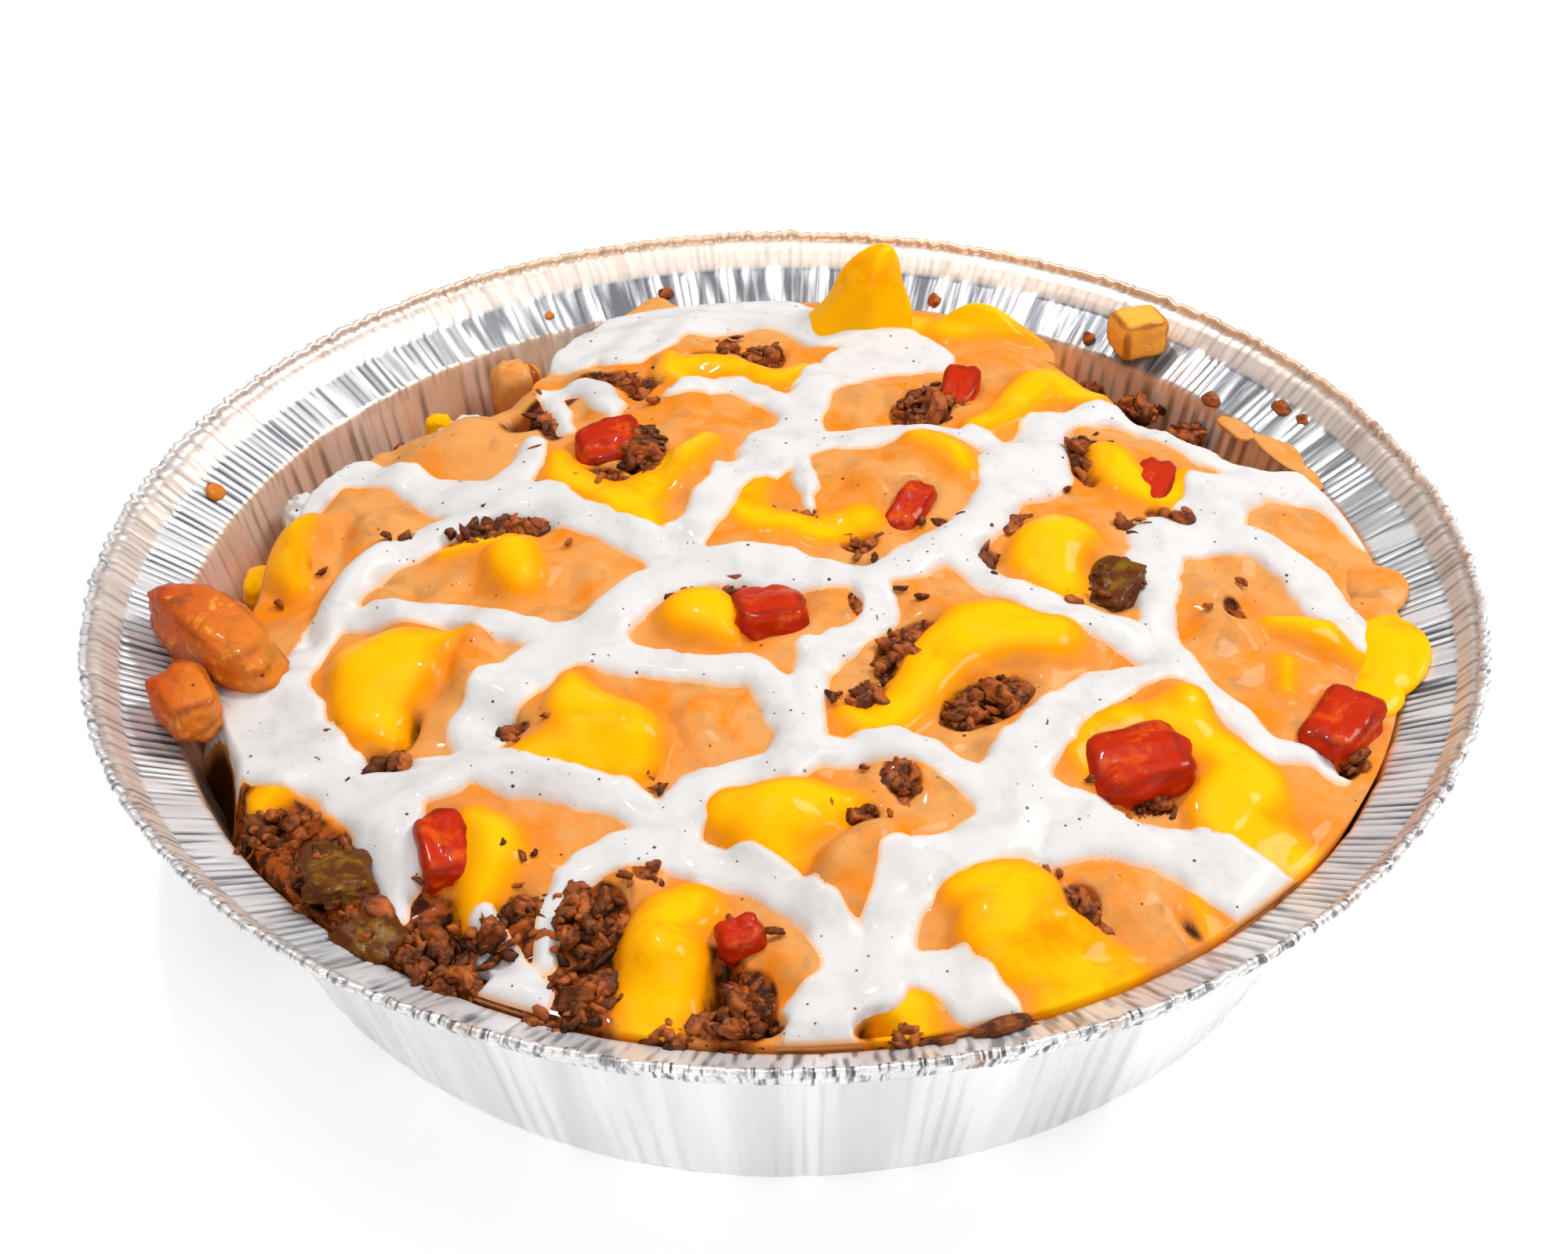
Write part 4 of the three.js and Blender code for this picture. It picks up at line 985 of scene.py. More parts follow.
def fry_parts():
    """The fries in the gaps beside the heap, each laid by the same rule as in the solids."""
    parts = []
    for k, (start, stop, count, out, length) in enumerate(TROUGH_FRIES):
        for i in range(count):
            seed = k * TROUGH_SEEDS + i * FRY_SEEDS
            azimuth = start + (stop - start) * (i + 0.5) / count
            turn = math.radians(azimuth)
            r = float(edge_radius(np.array([azimuth]))[0]) + out * (0.5 + draw(seed))
            lie = turn + math.pi / 2 + (draw(seed + 1) - 0.5) * FRY_SCATTER
            half = length * (FRY_SHORTEST + FRY_SPREAD * draw(seed + 2))
            ends = []
            for sign in (-1, 1):
                x = r * math.cos(turn) + sign * half * math.cos(lie)
                y = r * math.sin(turn) + sign * half * math.sin(lie)
                squeeze = min(1.0, FRY_REACH / math.hypot(x, y))
                x, y = x * squeeze, y * squeeze
                ends.append((x, y, height_at(x, y) - FRY_SIDE * FRY_SUNK))
            parts.append(fry_part(*ends, FRY_SIDE, FRY_BOW * (draw(seed + 3) - 0.5), draw(seed), seed))
    parts.append(fry_part(*LEANING_FRY, FRY_SIDE, 0, LEANING_FRY_ROLL, SEEDS["leaning_fry"]))
    return parts


def ledge_z(r):
    """Height of the sloping ledge at a radius."""
    return LIP_HEIGHT + (LEDGE_HEIGHT - LIP_HEIGHT) * clamp((r - LIP_RADIUS) / (LEDGE_RADIUS - LIP_RADIUS))


def ledge_part(azimuth, radius, length, width, height, seed, cheese=0.0):
    """Something lying on the ledge: an egg bent round the pan, its underside flat on the slope."""
    points, quads, caps = ball_grid(36, 22)
    swell = 1 + min(0.14, 0.25 / height) * ripples(points * 10, 14, seed)
    r = radius + points[:, 1] * width / 2 * swell
    turn = math.radians(azimuth) - points[:, 0] * length / 2 / radius * swell
    z = ledge_z(r) + np.maximum((points[:, 2] * 0.5 + 0.5 - SCRAP_SUNK) * height * swell, SCRAP_FOOT)
    shares = each(points, edge=0.5, shade=0.45 + 0.5 * draw(seed), cheese=cheese, pale=0.5)
    return np.stack([r * np.cos(turn), r * np.sin(turn), z], -1), quads, caps, shares


def peak_part(x, y, base, height, lean, seed):
    """A drawn-up peak of cheese: rings that shrink towards a tip, flared where they meet the heap. At
    a share t of the height the radius is base (sqrt(1 - t^4) (1 - 0.52 t) + 0.35 e^(-7 t))."""
    around, steps = 64, 40
    t = np.linspace(0, 1, steps)
    foot = height_at(x, y) - 2
    radius = base * ((1 - t**4) ** 0.5 * (1 - 0.52 * t) + 0.35 * np.exp(-t * 7))
    a = turns(around)
    level = t[:, None] * np.ones(around)
    tube = np.stack([np.cos(a) * 8 + 0 * level, np.sin(a) * 8 + 0 * level, level * height], -1)
    r = radius[:, None] * (1 + 0.12 * ripples(tube.reshape(-1, 3), 11, seed).reshape(level.shape))
    points = np.stack([x + lean[0] * level**1.5 + r * np.cos(a), y + lean[1] * level**1.5 + r * np.sin(a),
                       foot + level * (height + 2)], -1).reshape(-1, 3)
    caps = pole_caps(around, (steps - 1) * around, len(points))
    tip = [x + lean[0], y + lean[1], foot + height + 2.3]
    points = np.vstack([points, [[x, y, foot]], [tip]])
    return points, grid_quads(steps, around, True), caps, each(points, cheese=ALL_CHEESE)


# Finishes

def srgb(red, green, blue):
    """A colour from 0 to 255 as light, for Blender."""
    share = np.array([red, green, blue], float) / 255
    light = np.where(share <= 0.04045, share / 12.92, ((share + 0.055) / 1.055) ** 2.4)
    return tuple(float(v) for v in light)


def add_node(tree, kind, **settings):
    """A node of a kind, with its settings."""
    node = tree.nodes.new(kind)
    for key, value in settings.items():
        setattr(node, key, value)
    return node


def feed(tree, socket, source):
    """Sets a socket to a number or colour, or links it to another node's socket."""
    if isinstance(source, bpy.types.NodeSocket):
        tree.links.new(source, socket)
    elif hasattr(source, "__len__"):
        opaque = (1.0,) if len(socket.default_value) > len(source) else ()
        socket.default_value = (*source, *opaque)
    else:
        socket.default_value = source


def calculate(tree, kind, *values):
    """One step of arithmetic on values or sockets."""
    node = add_node(tree, "ShaderNodeMath", operation=kind)
    for socket, value in zip(node.inputs, values):
        feed(tree, socket, value)
    return node.outputs[0]


def eased(tree, value, low, high, bottom=0.0, top=1.0):
    """A value's smooth step from bottom at low to top at high."""
    node = add_node(tree, "ShaderNodeMapRange", interpolation_type="SMOOTHSTEP")
    for key, source in (("Value", value), ("From Min", low), ("From Max", high),
                        ("To Min", bottom), ("To Max", top)):
        feed(tree, node.inputs[key], source)
    return node.outputs[0]


def blend_colours(tree, share, first, second):
    """The first colour at a share of 0, the second at 1."""
    node = add_node(tree, "ShaderNodeMix", data_type="RGBA")
    feed(tree, node.inputs[0], share)
    feed(tree, node.inputs[6], first)
    feed(tree, node.inputs[7], second)
    return node.outputs[2]


def noise(tree, vector, scale, detail=3.0, rough=0.55, warp=0.0):
    """Uneven values from 0 to 1."""
    node = add_node(tree, "ShaderNodeTexNoise")
    for key, source in (("Vector", vector), ("Scale", scale), ("Detail", detail), ("Roughness", rough),
                        ("Distortion", warp)):
        feed(tree, node.inputs[key], source)
    return node.outputs["Fac"]


def darker(colour, share):
    """A colour with its light multiplied, darker below 1 and paler above."""
    return tuple(share * c for c in colour)


def new_group(name, ins, outs):
    """An empty node group with named sockets, and its input and output nodes."""
    tree = bpy.data.node_groups.new(name, "ShaderNodeTree")
    for side, sockets in (("INPUT", ins), ("OUTPUT", outs)):
        for label, kind in sockets:
            tree.interface.new_socket(label, in_out=side, socket_type="NodeSocket" + kind)
    return tree, add_node(tree, "NodeGroupInput").outputs, add_node(tree, "NodeGroupOutput").inputs


def mottle_group():
    """Two colours mixed by uneven noise, with the mask that mixes them."""
    if "Mottle" in bpy.data.node_groups:
        return bpy.data.node_groups["Mottle"]
    tree, ins, outs = new_group("Mottle", (
        ("Vector", "Vector"), ("First", "Color"), ("Second", "Color"),
        ("Scale", "Float"), ("Low", "Float"), ("High", "Float"),
    ), (("Colour", "Color"), ("Mask", "Float")))
    mask = eased(tree, noise(tree, ins["Vector"], ins["Scale"], 4.0, 0.6, 0.4), ins["Low"], ins["High"])
    tree.links.new(blend_colours(tree, mask, ins["First"], ins["Second"]), outs["Colour"])
    tree.links.new(mask, outs["Mask"])
    return tree


def speck_group():
    """Small round specks scattered at random over a colour: cells whose random value is high,
    out to a small distance from their middles."""
    if "Specks" in bpy.data.node_groups:
        return bpy.data.node_groups["Specks"]
    tree, ins, outs = new_group("Specks", (
        ("Vector", "Vector"), ("Colour", "Color"), ("Speck", "Color"),
        ("Scale", "Float"), ("Size", "Float"), ("Share", "Float"),
    ), (("Colour", "Color"), ("Mask", "Float")))
    cells = add_node(tree, "ShaderNodeTexVoronoi")
    tree.links.new(ins["Vector"], cells.inputs["Vector"])
    tree.links.new(ins["Scale"], cells.inputs["Scale"])
    chance = add_node(tree, "ShaderNodeSeparateColor")
    tree.links.new(cells.outputs["Color"], chance.inputs[0])
    chosen = calculate(tree, "LESS_THAN", chance.outputs[0], ins["Share"])
    size = calculate(tree, "MULTIPLY", ins["Size"], chance.outputs[1])
    near = eased(tree, cells.outputs["Distance"], size, calculate(tree, "MULTIPLY", size, 0.5))
    mask = calculate(tree, "MULTIPLY", chosen, near)
    tree.links.new(blend_colours(tree, mask, ins["Colour"], ins["Speck"]), outs["Colour"])
    tree.links.new(mask, outs["Mask"])
    return tree


def relief_group():
    """Fine unevenness as a height: coarse noise, and a share of fine noise added to it."""
    if "Fine Relief" in bpy.data.node_groups:
        return bpy.data.node_groups["Fine Relief"]
    tree, ins, outs = new_group("Fine Relief", (
        ("Vector", "Vector"), ("Coarse", "Float"), ("Fine", "Float"), ("Share", "Float"),
    ), (("Height", "Float"),))
    coarse = noise(tree, ins["Vector"], ins["Coarse"], 2.0, 0.5, 0.3)
    fine = calculate(tree, "MULTIPLY", noise(tree, ins["Vector"], ins["Fine"], 3.0, 0.6), ins["Share"])
    tree.links.new(calculate(tree, "ADD", coarse, fine), outs["Height"])
    return tree


def place_group(tree, group, **values):
    """A group placed in a material, with its own values."""
    node = add_node(tree, "ShaderNodeGroup", node_tree=group)
    for key, value in values.items():
        feed(tree, node.inputs[key], value)
    return node.outputs


class Finish:
    """A material being made: its shader, its node tree and the piece's own coordinates."""

    def __init__(self, name, **shader):
        self.material = bpy.data.materials.new(name)
        self.material.use_nodes = True
        self.tree = self.material.node_tree
        self.shader = self.tree.nodes["Principled BSDF"]
        self.place = add_node(self.tree, "ShaderNodeTexCoord").outputs["Object"]
        for key, value in shader.items():
            feed(self.tree, self.shader.inputs[key.replace("_", " ")], value)

    def attribute(self, name, vector=False):
        """A value that the mesh carries at its points."""
        node = add_node(self.tree, "ShaderNodeAttribute", attribute_name=name)
        return node.outputs["Vector" if vector else "Fac"]

    def mottle(self, first, second, pitch, low=0.4, high=0.6, vector=None):
        """Two colours mixed in patches of a pitch in millimetres."""
        return place_group(self.tree, mottle_group(), Vector=vector or self.place, First=first,
                           Second=second, Scale=1000 / pitch, Low=low, High=high)

    def specks(self, colour, speck, pitch, size, share):
        """Specks on a colour, in a share of cells of a pitch in millimetres."""
        return place_group(self.tree, speck_group(), Vector=self.place, Colour=colour, Speck=speck,
                           Scale=1000 / pitch, Size=size, Share=share)

    def relief(self, coarse, fine, share, depth, vector=None, smooth=None):
        """Bumps of a depth in millimetres, from noise of a coarse and a fine pitch, and fewer of them
        where a mask is high."""
        made = place_group(self.tree, relief_group(), Vector=vector or self.place, Coarse=1000 / coarse,
                           Fine=1000 / fine, Share=share)
        height = made["Height"]
        if smooth:
            height = calculate(self.tree, "MULTIPLY", height, eased(self.tree, smooth, 0.0, 1.0, 1.0, 0.25))
        bump = add_node(self.tree, "ShaderNodeBump")
        bump.inputs["Strength"].default_value = 1.0
        bump.inputs["Distance"].default_value = depth * MM
        self.tree.links.new(height, bump.inputs["Height"])
        self.tree.links.new(bump.outputs[0], self.shader.inputs["Normal"])

    def colour(self, source):
        """Gives the piece its colour."""
        feed(self.tree, self.shader.inputs["Base Color"], source)

    def roughness(self, source, low, high):
        """Lets the roughness wander between two values with a noise."""
        feed(self.tree, self.shader.inputs["Roughness"], eased(self.tree, source, 0.3, 0.7, low, high))


def once(make):
    """Makes a finish once and gives the same one back after that."""
    kept = {}

    def again(settings):
        if make not in kept:
            kept[make] = make(settings)
        return kept[make]
    return again


@once
def foil_finish(settings):
    """Foil: bright, with a painted reflection of the food as a warmer tint on the flange and inside, with
    painted shade in the folds where the mesh has them, brown in the folds beside the food, and with
    juice dried in the crimps of the rim. Noise breaks the folds up."""
    made = Finish("crinkled_foil", Metallic=0.45)
    tree = made.tree
    place = add_node(tree, "ShaderNodeVectorMath", operation="SCALE")
    tree.links.new(made.attribute("crease", True), place.inputs[0])
    place.inputs["Scale"].default_value = MM
    along = place.outputs[0]
    fold, flange, hem, within = (made.attribute(key) for key in ("fold", "flange", "hem", "within"))
    tint = made.mottle(settings.foil_colour, darker(settings.foil_colour, 0.8), 14, 0.35, 0.65, along)
    # Painted reflection of the food: a warm pinkish tint on the flange.
    colour = blend_colours(tree, flange, tint["Colour"], settings.flange_reflection_colour)
    # Painted reflection of the food on the inner wall, in cloudy patches.
    cloudy = eased(tree, noise(tree, along, 90.0, 2.0), 0.3, 0.7, 0.6, 1.0)
    inner = calculate(tree, "MULTIPLY", within, cloudy)
    colour = blend_colours(tree, inner, colour, settings.inner_reflection_and_stain_colour)
    broken = eased(tree, noise(tree, along, 700.0, 3.0), 0.3, 0.55, 0.55, 1.0)
    fine = eased(tree, noise(tree, along, 1500.0, 2.0), 0.45, 0.58)
    off_hem = calculate(tree, "SUBTRACT", 1.0, hem)
    broken = calculate(tree, "MINIMUM", broken, calculate(tree, "MAXIMUM", fine, off_hem))
    # Painted shade in the folds: the fold share, broken up by noise.
    shade = calculate(tree, "MULTIPLY", fold, broken)
    stains_and_brown_shade = calculate(tree, "MULTIPLY", eased(tree, noise(tree, along, 190.0, 2.0), 0.56, 0.7),
                       calculate(tree, "MAXIMUM", hem, flange))
    colour = blend_colours(tree, calculate(tree, "MULTIPLY", stains_and_brown_shade, 0.3), colour, settings.stain_and_brown_shade_colour)
    # A tan stain on the hem at the back, in the same colour.
    colour = blend_colours(tree, made.attribute("tan"), colour, settings.inner_reflection_and_stain_colour)
    # Inside the wall the folds' painted shade is brown, in the stain colour.
    stains_and_brown_shade = calculate(tree, "MAXIMUM", stains_and_brown_shade, calculate(tree, "MULTIPLY", within, 0.8))
    dark = blend_colours(tree, stains_and_brown_shade, settings.fold_shade_colour, settings.stain_and_brown_shade_colour)
    # The folds' painted shade, blue-grey or brown, laid over the foil's colour.
    made.colour(blend_colours(tree, shade, colour, dark))
    made.roughness(noise(tree, along, 260.0), 0.26, 0.44)
    made.relief(2.2, 0.9, 0.2, 0.16, along)
    return made.material


@once
def sauce_finish(settings):
    """Orange sauce, deeper beside the cheese as painted shade, with painted shade in its gaps and down its
    side to the wall, browned round the beef with painted shade in the hollows there, and cheese where it
    lies, with painted shade at its edges.
    """
    made = Finish("cheese_and_orange_sauce", Subsurface_Weight=0.08, Subsurface_Scale=0.002,
                  Specular_IOR_Level=0.02, Coat_Weight=0.1, Coat_Roughness=0.03)
    made.shader.inputs["Subsurface Radius"].default_value = (1.0, 0.5, 0.15)
    orange = made.mottle(settings.orange_colour, settings.orange_deep_and_shade, 11, 0.42, 0.66)["Colour"]
    orange = made.mottle(orange, darker(settings.orange_colour, 0.74), 4.5, 0.48, 0.78)["Colour"]
    orange = made.specks(orange, settings.speck_colour, 2.4, 0.17, 0.3)["Colour"]
    # Painted shade: the orange deepens beside the cheese.
    beside = eased(made.tree, made.attribute("cheese"), -5.0, 0.5, 0.0, 0.55)
    orange = blend_colours(made.tree, beside, orange, settings.orange_deep_and_shade)
    # Painted shade in the gaps between fries and at the wall.
    gap = eased(made.tree, made.attribute("gap"), 0.1, 0.8)
    orange = blend_colours(made.tree, gap, orange, settings.gap_shade_colour)
    # Round the beef: brown juice mottled with painted shade of dark hollows.
    meat = made.mottle(settings.meat_colour, settings.gap_shade_colour, 2.5, 0.4, 0.6)["Colour"]
    bare = eased(made.tree, made.attribute("meat"), 0.25, 0.8)
    orange = blend_colours(made.tree, bare, orange, meat)
    # Painted shade down the heap's side to the trough at the wall.
    side = made.mottle(settings.orange_deep_and_shade, settings.gap_shade_colour, 12, 0.4, 0.7)["Colour"]
    orange = blend_colours(made.tree, made.attribute("side"), orange, side)
    yellow = made.mottle(settings.cheese_colour, settings.cheese_deep_and_edge_shade, 13, 0.48, 0.75)["Colour"]
    # Painted shade: the cheese deepens to amber at its thin edges.
    thick = eased(made.tree, made.attribute("cheese"), 0.8, 4.2)
    yellow = blend_colours(made.tree, thick, settings.cheese_deep_and_edge_shade, yellow)
    wander = calculate(made.tree, "ADD", made.attribute("cheese"),
                       calculate(made.tree, "MULTIPLY", noise(made.tree, made.place, 420.0), 1.6))
    share = eased(made.tree, wander, 0.0, 2.3)
    made.colour(blend_colours(made.tree, share, orange, yellow))
    made.roughness(noise(made.tree, made.place, 210.0), 0.3, 0.5)
    made.relief(3.6, 1.1, 0.4, 0.16, smooth=share)
    return made.material


@once
def ranch_finish(settings):
    """Ranch with specks of herb, tinted at its thin edge by the sauce below."""
    made = Finish("ranch", Subsurface_Weight=0.15, Subsurface_Scale=0.002, Specular_IOR_Level=0.1,
                  Coat_Weight=0.08, Coat_Roughness=0.06)
    made.shader.inputs["Subsurface Radius"].default_value = (1.0, 0.8, 0.6)
    white = made.mottle(settings.ranch_colour, darker(settings.ranch_colour, 0.86), 6, 0.45, 0.75)
    white = made.specks(white["Colour"], settings.herb_colour, 2.2, 0.2, 0.24)["Colour"]
    white = made.specks(white, darker(settings.herb_colour, 2), 1.1, 0.3, 0.12)["Colour"]
    thin = eased(made.tree, made.attribute("thin"), 0.5, 1.0, 0.0, 0.8)
    made.colour(blend_colours(made.tree, thin, white, settings.ranch_edge))
    made.roughness(noise(made.tree, made.place, 260.0), 0.35, 0.55)
    made.relief(4.5, 1.1, 0.25, 0.18)
    return made.material


@once
def beef_finish(settings):
    """Browned beef, with painted shade in the hollows between its crumbs."""
    made = Finish("browned_beef", Specular_IOR_Level=0.16)
    colour = made.mottle(settings.beef_colour, settings.beef_dark, 2.6, 0.4, 0.64)["Colour"]
    shade = eased(made.tree, made.attribute("shade"), 0.05, 0.85)
    made.colour(blend_colours(made.tree, shade, settings.beef_hollow_shade, colour))
    made.roughness(noise(made.tree, made.place, 700.0), 0.2, 0.5)
    made.relief(1.3, 0.5, 0.5, 0.3)
    return made.material


@once
def tomato_finish(settings):
    """Tomato with paler patches, and painted shade that darkens its edges."""
    made = Finish("diced_tomato", Subsurface_Weight=0.05, Subsurface_Scale=0.002, Specular_IOR_Level=0.05,
                  Coat_Weight=0.16, Coat_Roughness=0.04)
    made.shader.inputs["Subsurface Radius"].default_value = (1.0, 0.25, 0.1)
    colour = made.mottle(settings.tomato_colour, settings.tomato_light, 4.0, 0.5, 0.72)["Colour"]
    # Painted shade: darker at the block's edges and corners.
    edge = eased(made.tree, made.attribute("edge"), 0.2, 1.0, 0.0, 0.7)
    made.colour(blend_colours(made.tree, edge, colour, darker(settings.tomato_colour, 0.4)))
    made.roughness(noise(made.tree, made.place, 300.0), 0.3, 0.5)
    made.relief(3.0, 0.9, 0.3, 0.1)
    return made.material


@once
def pepper_finish(settings):
    """Roasted pepper with charred patches and edges."""
    made = Finish("roasted_pepper", Specular_IOR_Level=0.14)
    colour = made.mottle(settings.pepper_colour, settings.pepper_dark, 3.4, 0.36, 0.56)["Colour"]
    edge = eased(made.tree, made.attribute("edge"), 0.3, 1.0, 0.0, 0.6)
    made.colour(blend_colours(made.tree, edge, colour, settings.pepper_dark))
    made.roughness(noise(made.tree, made.place, 300.0), 0.24, 0.4)
    made.relief(2.5, 0.8, 0.4, 0.12)
    return made.material


@once
def potato_finish(settings):
    """Fried potato: pale faces where the mesh says, with browned patches, edges and specks."""
    made = Finish("browned_potato", Specular_IOR_Level=0.08, Coat_Weight=0.2, Coat_Roughness=0.05,
                  Subsurface_Weight=0.05, Subsurface_Scale=0.002)
    colour = made.mottle(settings.potato_colour, settings.potato_light, 4.0, 0.55, 0.8)["Colour"]
    colour = made.mottle(colour, settings.potato_edge, 5.0, 0.5, 0.72)["Colour"]
    colour = blend_colours(made.tree, made.attribute("pale"), colour, settings.potato_light)
    edge = eased(made.tree, made.attribute("edge"), 0.2, 0.95, 0.0, 0.8)
    colour = blend_colours(made.tree, edge, colour, settings.potato_edge)
    made.colour(made.specks(colour, settings.potato_edge, 2.4, 0.25, 0.25)["Colour"])
    made.roughness(noise(made.tree, made.place, 500.0), 0.35, 0.6)
    made.relief(2.4, 0.6, 0.5, 0.36)
    return made.material


@once
def floor_finish(settings):
    """A pale floor that glows a little, so that it stays near white."""
    made = Finish("pale_floor", Specular_IOR_Level=0.1, Emission_Color=(1.0, 1.0, 1.0),
                  Emission_Strength=0.28)
    grain = made.mottle(settings.floor_colour, darker(settings.floor_colour, 0.985), 300)
    made.colour(grain["Colour"])
    feed(made.tree, made.shader.inputs["Roughness"], 0.75)
    return made.material


# Sizes and colours

def size_setting(name, description, default):
    return bpy.props.FloatProperty(name=name, description=description, default=default * MM, min=0.0,
                                   unit="LENGTH", precision=5)


def colour_setting(name, description, *default):
    return bpy.props.FloatVectorProperty(name=name, description=description, default=srgb(*default),
                                         subtype="COLOR", min=0.0, max=1.0)


class FriesSizes(bpy.types.PropertyGroup):
    """Sizes that the solids leave to the looks."""
    crease_depth: size_setting("Crease depth", "Depth of the foil's fine creases", 0.22)
    cheese_thickness: size_setting("Cheese thickness", "How thick the melted cheese stands", 1.5)
    ranch_thickness: size_setting("Ranch thickness", "How thick the ranch stands", 1.0)


class FriesColours(bpy.types.PropertyGroup):
    """Colours of the foil, the sauces and the toppings."""
    foil_colour: colour_setting("Foil", "Bare aluminium", 236, 236, 238)
    # Colour of the painted reflection of the food on the flange.
    flange_reflection_colour: colour_setting("Foil, flange", "Standing edge of the foil", 220, 204, 192)
    # Colour of the painted shade in the folds of the foil.
    fold_shade_colour: colour_setting("Foil, folds", "Dark lines in the folds of the foil", 74, 77, 84)
    # Colour of the painted reflection of the food on the inner wall, also the hem's tan stain.
    inner_reflection_and_stain_colour: colour_setting("Foil, inner wall", "Wall of the pan beside the food", 232, 196, 166)
    # Juice dried on the rim, and the brown of the painted shade in the folds inside.
    stain_and_brown_shade_colour: colour_setting("Foil, stains", "Juice dried in the crimps of the rim", 122, 82, 40)
    orange_colour: colour_setting("Orange sauce", "Orange sauce on the fries", 211, 146, 80)
    # Deeper orange sauce in patches, and the painted shade beside the cheese and down the heap's side.
    orange_deep_and_shade: colour_setting("Orange sauce, deep", "Orange sauce where it is thick", 222, 124, 20)
    speck_colour: colour_setting("Spice", "Specks of spice in the orange sauce", 120, 40, 10)
    # Colour of the painted shade in the gaps between fries.
    gap_shade_colour: colour_setting("Gap", "Dark gaps between fries", 58, 24, 8)
    meat_colour: colour_setting("Meat juice", "Browned sauce round the beef", 150, 70, 22)
    cheese_colour: colour_setting("Cheese", "Melted cheese", 250, 178, 0)
    # Deeper melted cheese in patches, and the painted shade at its edges.
    cheese_deep_and_edge_shade: colour_setting("Cheese, deep", "Melted cheese where it is thick", 238, 146, 0)
    ranch_colour: colour_setting("Ranch", "Ranch sauce", 208, 205, 203)
    ranch_edge: colour_setting("Ranch, edge", "Ranch where the sauce below shows", 232, 172, 110)
    herb_colour: colour_setting("Herbs", "Specks of herb in the ranch", 60, 58, 55)
    beef_colour: colour_setting("Beef", "Browned beef", 172, 88, 34)
    beef_dark: colour_setting("Beef, dark", "Seared beef", 84, 38, 14)
    # Colour of the painted shade in the hollows between the crumbs of beef.
    beef_hollow_shade: colour_setting("Beef, hollows", "Hollows between the crumbs of beef", 50, 22, 8)
    tomato_colour: colour_setting("Tomato", "Diced tomato", 178, 36, 0)
    tomato_light: colour_setting("Tomato, pale", "Cut faces of the tomato", 210, 80, 4)
    pepper_colour: colour_setting("Pepper", "Roasted green pepper", 122, 84, 8)
    pepper_dark: colour_setting("Pepper, dark", "Charred skin of the pepper", 88, 42, 6)
    potato_colour: colour_setting("Potato", "Fried potato", 188, 66, 0)
    potato_light: colour_setting("Potato, pale", "Pale faces of the fried potato", 246, 168, 60)
    potato_edge: colour_setting("Potato, edges", "Browned edges of the fried potato", 122, 42, 4)
    floor_colour: colour_setting("Floor", "The floor it stands on", 252, 252, 252)


class Settings:
    """The sizes and the colours together, read by name."""

    def __init__(self, scene):
        self.groups = (scene.fries_sizes, scene.fries_colours)

    def __getattr__(self, name):
        for group in self.groups:
            if hasattr(group, name):
                value = getattr(group, name)
                return tuple(value) if hasattr(value, "__len__") else value
        raise AttributeError(name)


# Pieces, one operator for each kind

class FoilPan(bpy.types.Operator):
    """Makes the crinkled foil pan"""
    bl_idname = "fries.foil_pan"
    bl_label = "Foil pan"

    def execute(self, context):
        settings = Settings(context.scene)
        pan = [foil_pan_mesh(settings)]
        make_piece(settings, "crinkled_foil_pan", pan, foil_finish, ("foil_pan",))
        return {"FINISHED"}


class SaucedHeap(bpy.types.Operator):
    """Makes the heap of fries under orange sauce and cheese, with its peak and the fries beside it"""
    bl_idname = "fries.sauced_heap"
    bl_label = "Sauced heap"

    def execute(self, context):
        settings = Settings(context.scene)
        make_piece(settings, "sauced_fries", [heap_mesh(settings)], sauce_finish, ("loaded_fries",))
        make_piece(settings, "cheese_peak", [peak_part(*CHEESE_PEAK, SEEDS["peak"])], sauce_finish)
        make_piece(settings, "fries_beside_heap", fry_parts(), potato_finish)
        return {"FINISHED"}


class RanchDrizzle(bpy.types.Operator):
    """Makes the ranch that lies over the heap in runs and pools"""
    bl_idname = "fries.ranch"
    bl_label = "Ranch"

    def execute(self, context):
        settings = Settings(context.scene)
        make_piece(settings, "ranch", [ranch_mesh(settings)], ranch_finish)
        return {"FINISHED"}


class DicedVegetables(bpy.types.Operator):
    """Makes the diced tomato and the pepper"""
    bl_idname = "fries.vegetables"
    bl_label = "Tomato and pepper"

    def execute(self, context):
        settings = Settings(context.scene)
        for kind, finish, slot, flat, rough in ((TOMATO, tomato_finish, "tomato", 0.9, 0.06),
                                                (PEPPER, pepper_finish, "pepper", 0.66, 0.12)):
            for k, (name, (length, width, height, turn)) in enumerate(kind.items()):
                part = chunk_part((length, width, height * flat), 4.4, node_middle(name), turn, rough,
                                  SEEDS["vegetables"] + k, tilt=(sway(k), sway(k + 40)), pitch=0.7)
                make_piece(settings, name + "_diced", [part], finish, (name,))
        return {"FINISHED"}


class CrumbledBeef(bpy.types.Operator):
    """Makes the pieces of crumbled beef and the small bits between them"""
    bl_idname = "fries.beef"
    bl_label = "Crumbled beef"

    def execute(self, context):
        settings = Settings(context.scene)
        for k, (name, (*size, turn)) in enumerate(BEEF.items()):
            parts = beef_cluster(node_middle(name), size, turn, SEEDS["beef"] + k)
            make_piece(settings, name + "_crumbled", parts, beef_finish, (name,))
        parts = []
        for k, (x, y, length, width) in enumerate(BEEF_BITS):
            middle = np.array([x, y, height_at(x, y) - BIT_SUNK])
            parts += beef_cluster(middle, (length, width, BIT_HEIGHT), sway(k), SEEDS["beef_bits"] + k)
        make_piece(settings, "beef_bits", parts + strewn_crumbs(), beef_finish)
        return {"FINISHED"}


